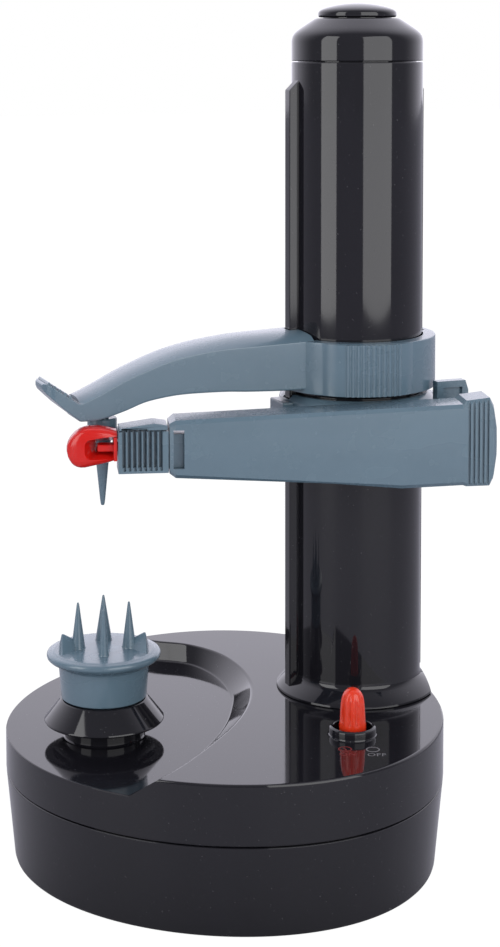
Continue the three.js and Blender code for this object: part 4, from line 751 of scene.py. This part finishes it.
carve(cover, turned("lever_bore", [(6.2, 44), (6.2, 54)], *SWITCH, 64))
carve(cover, turned("bush_bore", [(5.8, 38), (5.8, 50)], 0, 0, 48))
carve(cover, turned("column_bore", [(12.4, 43.5), (12.4, 52)], COLUMN.x, COLUMN.y, 64))
for x, y in POSTS:
    top = 42 if x < HOLDER_SIDE else 48.2
    carve(cover, turned("cover_post", [(3.8, 30.4), (3.8, top)], x, y, 32), "UNION")
    carve(cover, turned("cover_bore", [(1.6, 29), (1.6, 33.8)], x, y, 32))


def on_tray_lip(p):
    """True for points where the tray's floor meets the outside of the housing."""
    along = (p.x - BASE.x) / HALF_LENGTH
    across = p.y / (HALF_WIDTH * (1 + EGG * along))
    return abs(p.z - TRAY_FLOOR) < 0.02 and along * along + across * across > 0.985


choose(cover, on_tray_lip)
bpy.ops.mesh.bevel(offset=0.5 * MM, segments=3, affect="EDGES")
complete(cover, gloss_black, "base", ["base_top_cover"], 24)

# %% [markdown]
# ## The column
# A polished tube with a rib down each side that keeps the arms from turning, a slot at the back
# for the carriage's bridge, and a foot that flares out onto the deck in a soft curve.

# %% Column tube
tube = turned("tube", [
    (20.1, 49.6), (27.1, 49.6), (27.0, 50.2), (25.9, 51.4), (24.6, 52.6), (23.3, 53.8),
    (22.5, 54.5), (22.15, 55.3), (22.1, 56.5), (22.1, 262.7), (21.85, 263), (20.1, 263), (20.1, 49.6),
], COLUMN.x, COLUMN.y, 160)
for side, rise in ((-1, 3.2), (1, 1.8)):
    near, far = sorted((side * 20.4, side * (22.1 + rise)))
    rib = slab("rib", (COLUMN.x + near, -2.2, 49.8), (COLUMN.x + far, 2.2, 258.5))
    choose(rib, lambda p: p.z > 200 and side * (p.x - COLUMN.x) > 21.5)
    bpy.ops.transform.translate(value=(0, 0, -4.8 * MM))
    carve(tube, soften(rib, 0.4, 2), "UNION")
foot = turned("tube_foot", [(14.6, 49.6), (20.6, 49.6), (20.6, 55.6), (14.6, 55.6), (14.6, 49.6)],
              COLUMN.x, COLUMN.y, 96)
carve(tube, foot, "UNION")
carve(tube, slab("rear_slot", (COLUMN.x - 4, 12, 64), (COLUMN.x + 4, 26, 252)))
outside = slab("outside", (COLUMN.x - 40, -40, 45), (COLUMN.x + 40, 40, 54.6))
carve(outside, egg("inside", [(-0.9, 40), (-0.9, 60)], 160))
carve(tube, outside)
complete(tube, gloss_black, "base", ["column_tube"], 26)

# %% [markdown]
# ### Cap and button
# The cap closes the tube above a fine seam. Its shoulder rolls over to the opening of a domed
# button that stands slightly proud.

# %% Cap and button
cap = turned("cap", [
    (3.3, 257), (19.8, 257), (19.8, 263.2), (21.8, 263.3), (22.1, 263.6), (22.1, 269.6), (22.02, 270.5),
    (21.75, 271.5), (21.2, 272.4), (20.3, 273.3), (19.1, 274.2), (17.6, 275.2), (16.2, 276.1),
    (15.0, 276.9), (14.3, 277.3), (13.95, 277.45), (13.7, 277.3), (13.7, 271.1), (17.8, 270.6),
    (17.8, 259.4), (3.3, 259.4), (3.3, 257),
], COLUMN.x, COLUMN.y, 160)
complete(cap, gloss_black, "base", ["column_cap"], 30)
stem = (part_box("top_button")[0] - HOLDER).z / MM + HOLDER.z / MM
button = turned("button", [
    (0.05, stem), (3, stem), (3, 274.7), (11.6, 274.7), (11.6, 277.7), (12.7, 277.8),
    (13.1, 278.1), (13.2, 278.6), (13.15, 279.3), (12.8, 279.9), (12.1, 280.4), (10.9, 280.9),
    (9.2, 281.4), (7.2, 281.85), (5.0, 282.2), (2.6, 282.42), (0.9, 282.49), (0.05, 282.5),
], COLUMN.x, COLUMN.y, 96)
complete(button, gloss_black, "button", ["top_button"], 40)

# %% [markdown]
# ## The food holder
# A black skirt throws juice clear of the spindle, and the cup above it grips the food with four
# cones. Beside each of the two side cones a wedge-shaped fin bites in, so the food can't slip round.

# %% Skirt and cup
skirt = turned("skirt", [
    (3.3, 48.3), (6.9, 48.3), (6.9, 54.1), (12.2, 54.1), (16.9, 48.3), (18.9, 48.3), (19.35, 48.42),
    (19.6, 48.85), (19.48, 49.3), (14.4, 55.5), (14.0, 55.8), (13.5, 55.9), (3.3, 55.9), (3.3, 48.3),
])
complete(skirt, gloss_black, "food_holder_unit", ["food_skirt"], 30)
holder = turned("holder", [
    (0.05, 66.3), (3.3, 66.3), (3.3, 56.2), (6.9, 56.2), (6.9, 66.7), (13.0, 66.7), (12.2, 56.2),
    (13.7, 56.2), (13.97, 56.5), (14.75, 66.8), (15.0, 67.4), (15.6, 67.95), (16.7, 68.45),
    (17.9, 69.05), (18.45, 69.6), (18.6, 70.2), (18.55, 70.75), (18.3, 71.2), (17.85, 71.5),
    (17.3, 71.62), (16.9, 71.68), (16.5, 71.9), (16.0, 72.0), (12, 72.1), (6, 72.18), (0.05, 72.2),
], sides=144)

# %% [markdown]
# Four cones stand round the axis, a quarter turn apart: a broad one behind, a slim one in front
# and two even ones at the sides. Outside each side cone a roof-shaped fin rises outwards and
# drops to the rim, so the food can't slip round. Booleans join them to the cup.

# %% Cones and fins
CONE_TURN = -16.5
DISC = 72.0


def round_axis(reach, aside, height, angle):
    """A point beside the holder's axis, turned round it."""
    c, s = math.cos(math.radians(angle)), math.sin(math.radians(angle))
    return (reach * c - aside * s, reach * s + aside * c, height)


for quarter, foot_radius in enumerate((2.25, 2.7, 2.25, 1.55)):
    angle = CONE_TURN + 90 * quarter
    x, y, _ = round_axis(8.3, 0, 0, angle)
    cone = turned("cone", [
        (foot_radius + 0.45, DISC - 0.6), (foot_radius + 0.3, DISC + 0.05), (foot_radius, DISC + 0.5),
        (0.42, 86.6), (0.32, 87.1), (0.14, 87.3),
    ], x, y, 28)
    carve(holder, cone, "UNION")
for angle in (CONE_TURN, CONE_TURN + 180):
    fin = loft("fin", [
        [round_axis(reach, side, height, angle) for side, height in (
            (-wide, DISC - 0.5), (wide, DISC - 0.5), (0.3, top), (-0.3, top))]
        for reach, wide, top in (
            (8.2, 1.6, DISC + 2.4), (10.0, 3.8, DISC + 3.3), (13.2, 7.7, DISC + 4.9),
            (13.7, 8.1, DISC + 4.8), (14.6, 8.5, DISC + 0.9), (14.8, 8.3, DISC - 0.2))
    ])
    carve(holder, soften(fin, 0.18, 2, 30), "UNION")
complete(holder, blue_grey, "food_holder_unit", ["food_holder"], 34)

# %% [markdown]
# ## The switch
# The lever is a fluted bullet in see-through red. Its flutes come from pulling every few of its
# upright edges towards the axis. Beside it the deck is printed with the two positions.

# %% Switch lever
lever = turned("lever", [
    (0.05, 42.1), (2.2, 42.7), (3.0, 43.9), (3.2, 45.3), (4.0, 46.7), (4.3, 48.2), (4.3, 52.6),
    (4.15, 53.4), (4.0, 56.5), (3.85, 59.0), (3.6, 60.8), (3.2, 62.2), (2.6, 63.2), (1.8, 64.0),
    (0.9, 64.4), (0.05, 64.5),
], *SWITCH, 80)


def in_flute(p):
    """True for points in one of the lever's ten flutes."""
    turn = math.degrees(math.atan2(p.y - SWITCH[1], p.x - SWITCH[0])) % 36
    return 53.0 < p.z < 62.0 and 8 < turn < 22


choose(lever, in_flute)
bpy.ops.transform.resize(value=(0.915, 0.915, 1), center_override=spot(*SWITCH, 50))
complete(lever, lever_red, "switch", ["switch_lever"], 35)

# %% [markdown]
# The prints are flat letters and rings a few hundredths of a millimetre thick, in ink that is a
# little rougher than the deck. Text is turned into a mesh before its place is applied.

# %% Prints beside the switch
red_ink = moulded("red_ink", (0.16, 0.012, 0.012), 0.45, 0.2)
grey_ink = moulded("grey_ink", (0.16, 0.16, 0.17), 0.45, 0.2)
PRINT_TURN = math.radians(-22)


def printed(word, x, y, ink):
    """A word lying on the deck, read from the front."""
    bpy.ops.object.select_all(action="DESELECT")
    bpy.ops.object.text_add(location=spot(x, y, DECK + 0.01), rotation=(0, 0, PRINT_TURN))
    text = bpy.context.object
    text.data.body = word
    text.data.size = 3.4 * MM
    text.data.align_x = "CENTER"
    text.data.extrude = 0.02 * MM
    text.data.resolution_u = 4
    text.name = f"print_{word.lower()}"
    bpy.ops.object.convert(target="MESH")
    text = bpy.context.object
    bpy.ops.object.transform_apply(location=True, rotation=True, scale=True)
    return complete(close_up(text), ink, "base")


def printed_sign(name, x, y, ink, barred):
    """A small ring on the deck, with a bar for the running position."""
    ring = turned(name, [
        (1.75, DECK), (2.2, DECK), (2.2, DECK + 0.04), (1.75, DECK + 0.04), (1.75, DECK),
    ], x, y, 40)
    if barred:
        carve(ring, slab("bar", (x - 0.22, y - 1.2, DECK), (x + 0.22, y + 1.2, DECK + 0.04)), "UNION")
    return complete(ring, ink, "base")


printed("ON", 60.2, -61.6, red_ink)
printed("OFF", 68.4, -65.2, grey_ink)
printed_sign("sign_on", 61.6, -56.2, red_ink, True)
printed_sign("sign_off", 69.6, -59.6, grey_ink, False)

# %% [markdown]
# ## The upper arm
# A humped beam runs from a ring on the column to the spike over the holder. Its crown is round
# and meets upright sides at a crisp line. It is lofted through many sections, whose width, crest
# and underside follow a few chosen stations along smooth curves.

# %% Beam of the upper arm
RING_LOW, RING_HIGH = 153.8, 171.3
STATIONS = [
    (1, 1, 0.15, 0.14, 1), (0.906, 0.95, 0.15, 0.14, 0.985), (0.729, 0.82, 0.1, 0.14, 0.955),
    (0.62, 0.7, 0.04, 0.12, 0.91), (0.52, 0.6, 0.03, 0.105, 0.845), (0.43, 0.5, 0.05, 0.09, 0.76),
    (0.352, 0.4, 0.14, 0.08, 0.655), (0.27, 0.3, 0.31, 0.075, 0.52), (0.186, 0.2, 0.64, 0.075, 0.365),
    (0.077, 0.1, 0.97, 0.08, 0.135), (0, 0, 0.98, 0.09, 0),
]


def beam_section(station):
    """One cross-section: flat bottom with rounded corners, upright sides, round crown."""
    along, width, fall, drop, crest = station
    x = -9.5 + 78.9 * along
    half = 8 + 4.4 * width
    low = 156.2 - 7.4 * fall
    high = 156.2 + 17.8 * crest
    side = high - 20.2 * drop
    crown = [
        (half * (1 - i / 8), high - (high - side) * (1 - i / 8) ** 2.7) for i in range(1, 9)
    ]
    right = [(half - 0.8, low), (half - 0.25, low + 0.2), (half, low + 0.8),
             (half, side - 0.3), (half - 0.12, side)] + crown
    left = [(-y, z) for y, z in reversed(right[:-1])]
    return [(x, y, z) for y, z in right + left]


beam = loft("beam", [beam_section(s) for s in smooth_curve(STATIONS, 6)])

# %% Ring, grip pad and rail hoods
ring = turned("upper_ring", [
    (22.0, 153.8), (26.3, 153.8), (26.58, 153.92), (26.7, 154.2), (26.7, 170.8), (26.58, 171.15),
    (26.2, 171.3), (22.0, 171.3), (22.0, 153.8),
], COLUMN.x, COLUMN.y, 160)


def on_column(radius, degrees, height):
    """A point round the column's axis."""
    a = math.radians(degrees)
    return (COLUMN.x + radius * math.cos(a), COLUMN.y + radius * math.sin(a), height)


def pad_outline(height):
    """The grip pad in plan: a swelling with eleven ribs across its middle."""
    outer = [(26.5, -139), (26.9, -137), (27.5, -133), (27.7, -129), (27.7, -125)]
    for i in range(11):
        start = -121 + i * 40 / 11
        outer += [(27.7, start), (28.15, start + 0.7), (28.3, start + 1.4), (28.15, start + 2.1),
                  (27.7, start + 2.8)]
    outer += [(27.7, -79), (27.5, -75), (26.9, -71), (26.5, -69)]
    inner = [(25, degrees) for degrees in range(-70, -140, -4)]
    return [on_column(radius, degrees, height) for radius, degrees in outer + inner]


pad = soften(loft("grip_pad", [pad_outline(154.0), pad_outline(171.1)]), 0.18, 2, 50)


def rail_slabs(name, left, right, half, low, high):
    """A block across the column, reaching further over the taller rib."""
    return slab(name, (COLUMN.x - left, -half, low), (COLUMN.x + right, half, high))


def column_room(ring_piece, low, high):
    """Cuts the sliding fit on the column out of a ring."""
    carve(ring_piece, rail_slabs("rail_room", 25.8, 24.4, 2.7, low, high))
    bore = turned("bore", [(22.6, low), (22.6, high)], COLUMN.x, COLUMN.y, 160)
    return carve(ring_piece, bore)


# %% [markdown]
# ### Thumb tab
# The beam's end turns up into a tab that a thumb lifts. It is a tapering tongue, drawn from the
# side and cut to a rounded plan, and five low ridges across its top keep the thumb from slipping.

# %% Thumb tab
TAB_SIDE = [
    (-5.5, 149.0), (-9.3, 148.96), (-14.9, 153.4), (-20.1, 158.3), (-21.0, 159.6),
    (-21.3, 160.5), (-20.9, 161.3), (-20.1, 161.5), (-19.3, 161.2), (-10.2, 154.9),
    (-9.5, 154.7), (-5.5, 155.2),
]
tab = loft("tab", [[(x, y, z) for x, z in TAB_SIDE] for y in (-8, 8)])
corners = [(-3, -8.1), (-17, -8.1), (-18.6, -7.6), (-20, -6.4), (-21, -4.2), (-21.3, 0),
           (-21, 4.2), (-20, 6.4), (-18.6, 7.6), (-17, 8.1), (-3, 8.1)]
plan = loft("tab_plan", [[(x, y, z) for x, y in corners] for z in (146, 165)])
carve(tab, plan, "INTERSECT")
soften(tab, 0.35, 3, 35)
for i in range(5):
    x, z = -19.2 + 1.6 * i, 161.05 - 1.1 * i
    ridge = [(x - 0.5, z - 0.4), (x - 0.42, z + 0.5), (x - 0.15, z + 0.95), (x + 0.2, z + 0.95),
             (x + 0.42, z + 0.5), (x + 0.5, z - 0.5)]
    half = (5.9, 7.0, 7.6, 7.9, 7.9)[i]
    carve(tab, loft("ridge", [[(u, y, v) for u, v in ridge] for y in (-half, half)]), "UNION")

# %% Join the upper arm
upper = ring
for piece in (pad, soften(rail_slabs("hood", 27.4, 26.0, 4.3, 153.9, 171.2), 0.5), beam, tab):
    carve(upper, piece, "UNION")
column_room(upper, 150, 180)
carve(upper, turned("shaft_hole", [(2.5, 146), (2.5, 153.7)], 0, 0, 32))
upper.name = "upper_arm_shell"
complete(upper, blue_grey, "upper_arm_unit", ["upper_arm"], 30)

spike = turned("hold_spike", [
    (0.05, 119.5), (0.42, 119.55), (0.62, 119.9), (0.85, 121.5), (2.7, 140.2), (2.95, 141.2),
    (3.4, 141.5), (4.45, 141.5), (4.8, 141.85), (4.8, 148.15), (4.45, 148.5), (2.2, 148.5),
    (2.2, 153.0), (0.05, 153.1),
], sides=48)
complete(spike, blue_grey, "spike", ["upper_spike"], 35)

# %% [markdown]
# ## The carriage
# The carriage rides up and down the column. Its ring is turned, with bumps over the ribs, a
# bridge through the rear slot, and two ears for the arm's pin. The squeeze lug has the packed
# model's exact shape, so it is taken from a merged copy of that node and joined on.

# %% Carriage
carriage = turned("carriage_ring", [
    (22.0, 128.5), (25.8, 128.5), (26.08, 128.62), (26.2, 128.9), (26.2, 149.8), (26.05, 150.3),
    (24.6, 151.75), (24.1, 152), (22.0, 152), (22.0, 128.5),
], COLUMN.x, COLUMN.y, 160)
bumps = soften(rail_slabs("bumps", 29.2, 27.8, 6.1, 128.5, 150), 0.6)
lug = copy_of("carriage", "lug")
carve(lug, slab("lug_room", (104, -23.5, 129), (123, -2, 158)), "INTERSECT")
ears = slab("ears", (COLUMN.x - 4.2, -34.5, 131.4), (COLUMN.x + 4.2, -24, 148.2))
carve(ears, turned("ear_round", [(4.2, 131.4), (4.2, 148.2)], COLUMN.x, -34.5, 48), "UNION")
carve(ears, slab("ear_gap", (COLUMN.x - 6, -40, 134.4), (COLUMN.x + 6, -26, 145.2)))
for piece in (bumps, lug, ears):
    carve(carriage, piece, "UNION")
column_room(carriage, 120, 160)
bridge = slab("bridge", (COLUMN.x - 3.5, 12.3, 133), (COLUMN.x + 3.5, 25.7, 147))
carve(carriage, bridge, "UNION")
carve(carriage, turned("pin_bore", [(2.0, 125), (2.0, 155)], COLUMN.x, -34.5, 32))
carriage.name = "carriage_shell"
complete(carriage, blue_grey, "carriage_unit", ["carriage"], 28)

# %% [markdown]
# ## The peeling arm and its cartridge
# The long arm is a moulded trough, so its packed form is already right. A merged copy gets the
# small rounds that every moulded edge has, which is what makes plastic look real in a highlight.

# %% Peeling arm, block and cover
ARM_TURN = math.radians(180 - 14.2)


def on_arm(x, y, z):
    """A point in the arm's own frame: x towards the blade, y to the front."""
    c, s = math.cos(ARM_TURN), math.sin(ARM_TURN)
    return (COLUMN.x + x * c - y * s, -34.5 + x * s + y * c, z)


def arm_block(name, low, high):
    """A block set out in the arm's own frame."""
    corners = [(low[1], low[2]), (high[1], low[2]), (high[1], high[2]), (low[1], high[2])]
    return loft(name, [[on_arm(x, y, z) for y, z in corners] for x in (low[0], high[0])])


GUARD_START, GUARD_LENGTH, GUARD_MID = 91.6, 16.0, 141.0
arm = soften(copy_of("peeling_arm", "arm_shell"), 0.4, 3, 24)
complete(arm, blue_grey, "arm", ["peeling_arm"], 30)
ribbed = copy_of("blade_block", "ribbed_block")
for i in range(8):
    x = GUARD_START - 16 / 9.6 * (i + 1.2)
    for side in (-1, 1):
        near, far = sorted((side * 2.8, side * 6))
        carve(ribbed, arm_block("deep_groove", (x - 0.44, near, 135.05), (x + 0.44, far, 149)))
soften(ribbed, 0.12, 2, 40)
complete(ribbed, blue_grey, "blade_cartridge", ["blade_block"], 30)
lid = soften(copy_of("block_cover", "block_lid"), 0.22, 2, 24)
complete(lid, blue_grey, "blade_cartridge", ["block_cover"], 30)

# %% [markdown]
# The red guard is a rounded hood with a mouth right through it. It is lofted from soft-cornered
# sections that shrink towards the tip, and the mouth is cut out of it with rounded corners.

# %% Blade guard
guard_top = smooth_curve([(0, 0.4), (0.2, 0.47), (0.45, 0.5), (0.68, 0.47), (0.85, 0.34),
                          (0.96, 0.17), (0.995, 0.02)], 4)
guard_low = smooth_curve([(0, -0.27), (0.16, -0.33), (0.45, -0.4), (0.7, -0.45), (0.87, -0.38),
                          (0.97, -0.2), (0.995, -0.06)], 4)
guard_half = smooth_curve([(0, 0.97), (0.3, 1.0), (0.6, 0.97), (0.8, 0.83), (0.92, 0.6),
                           (0.98, 0.36), (0.995, 0.2)], 4)


def read_curve(curve, along):
    """The height of a curve at a place along it."""
    for before, after in zip(curve, curve[1:]):
        if after.x >= along:
            share = (along - before.x) / max(after.x - before.x, 1e-6)
            return before.y + share * (after.y - before.y)
    return curve[-1].y


def guard_section(along):
    """A soft-cornered section of the guard."""
    top = GUARD_MID + 13.8 * read_curve(guard_top, along)
    low = GUARD_MID + 13.8 * read_curve(guard_low, along)
    half = 4.6 * read_curve(guard_half, along)
    points = []
    for i in range(28):
        a = 2 * math.pi * i / 28
        c, s = math.cos(a), math.sin(a)
        y = half * math.copysign(abs(c) ** 0.5, c)
        z = (top + low) / 2 + (top - low) / 2 * math.copysign(abs(s) ** 0.62, s)
        points.append(on_arm(GUARD_START + GUARD_LENGTH * along, y, z))
    return points


guard = loft("guard", [guard_section(s / 100) for s in (
    0, 8, 16, 26, 36, 46, 56, 64, 72, 79, 85, 90, 94, 97, 99.3)])
print("guard sections lofted")

# %% Guard's mouth, cheek and tongue


def mouth_side(y, share):
    """The mouth's outline: it opens wider towards the block, and narrows away from the viewer."""
    tip, tall, radius = GUARD_START + 4.6 + 6 * share, 3.4 * share, 2.2 * share
    round_end = [
        (tip - radius + radius * math.cos(a), side * (tall - radius + radius * abs(math.sin(a))))
        for side, turns in ((-1, (90, 60, 30, 0)), (1, (0, 30, 60, 90)))
        for a in [math.radians(t) for t in turns]
    ]
    line = [(GUARD_START - 2, -tall), *round_end, (GUARD_START + 4, tall + 0.7 * share),
            (GUARD_START - 2, tall + 1.1 * share)]
    return [on_arm(x, y, GUARD_MID + z) for x, z in line]


carve(guard, loft("mouth", [mouth_side(-6, 0.2), mouth_side(6, 1.08)]))
soften(guard, 0.35, 3, 40)
cheek = arm_block("cheek", (91.6, -4.3, 137.2), (92.7, 4.3, 144.8))
for z in (138.4, 143.6):
    carve(cheek, arm_block("leg_hole", (90, -4.2, z - 0.8), (94, -2.6, z + 0.8)))
carve(guard, cheek, "UNION")
tongue = soften(arm_block("tongue", (87.3, -2.3, 139.9), (97.8, 2.3, 142.1)), 0.35, 3)
carve(guard, tongue, "UNION")
complete(guard, red_gloss, "blade_cartridge", ["blade_guard"], 35)
edge = soften(copy_of("blade", "steel_blade"), 0.06, 2, 30)
complete(edge, ground_steel, "blade_cartridge", ["blade"], 30)

# %% [markdown]
# ## Underneath
# Turned over, the machine shows its battery door, four deep screw holes and four rubber feet.
# The screws get the cross that a driver fits, and the feet a soft rolled edge.

# %% Door, screws and feet
door = soften(copy_of("battery_door", "door_panel"), 0.25, 2, 40)
for i in range(5):
    y = -2.0 - 4.5 * i
    groove = slab("grip", (BASE.x - 30 + i, y - 0.5, 0.5), (BASE.x - 18 - i, y + 0.5, 1.35))
    carve(door, groove)
complete(door, deep_black, "base", ["battery_door"], 30)
for node in ("base_screw_1", "base_screw_2", "base_screw_3", "base_screw_4", "door_screw"):
    low_corner, high_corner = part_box(node)
    x, y, _ = ((low_corner + high_corner) / 2 - HOLDER) / MM
    z = low_corner.z / MM
    screw = soften(copy_of(node, f"{node}_crossed"), 0.15, 2, 40)
    for across, along in ((1.5, 0.3), (0.3, 1.5)):
        carve(screw, slab("cross", (x - across, y - along, z - 1), (x + across, y + along, z + 0.9)))
    complete(screw, zinc_plate, "base", [node], 40)
for number in range(1, 5):
    low_corner, high_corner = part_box(f"rubber_foot_{number}")
    x, y, _ = ((low_corner + high_corner) / 2 - HOLDER) / MM
    pad_foot = turned(f"soft_foot_{number}", [
        (0.3, 0.25), (3.0, 0.22), (3.4, 0.0), (4.7, 0), (5.2, 0.12), (5.45, 0.35), (5.5, 0.7),
        (0.3, 0.7),
    ], x, y, 48)
    complete(pad_foot, rubber, "base", [f"rubber_foot_{number}"], 40)

# %% [markdown]
# ## Finishes for the pieces inside
# Gears, shafts, springs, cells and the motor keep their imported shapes. Each gets the finish that
# its material in the record asks for, so they look right when the machine is taken apart.

# %% Inner pieces
FINISHES = {
    "black_gloss": deep_black, "blue_grey": blue_grey, "red_plastic": red_gloss,
    "lever_red": lever_red, "steel": turned_steel, "dark_steel": zinc_plate,
    "white_plastic": white_plastic, "brass": brass, "rubber": rubber, "battery_foil": cell_sleeve,
}
for part in frame["record"]["subparts"]:
    node = frame["nodes"][part["node"]]
    node.data.materials.clear()
    node.data.materials.append(FINISHES[part["material_slot"]])
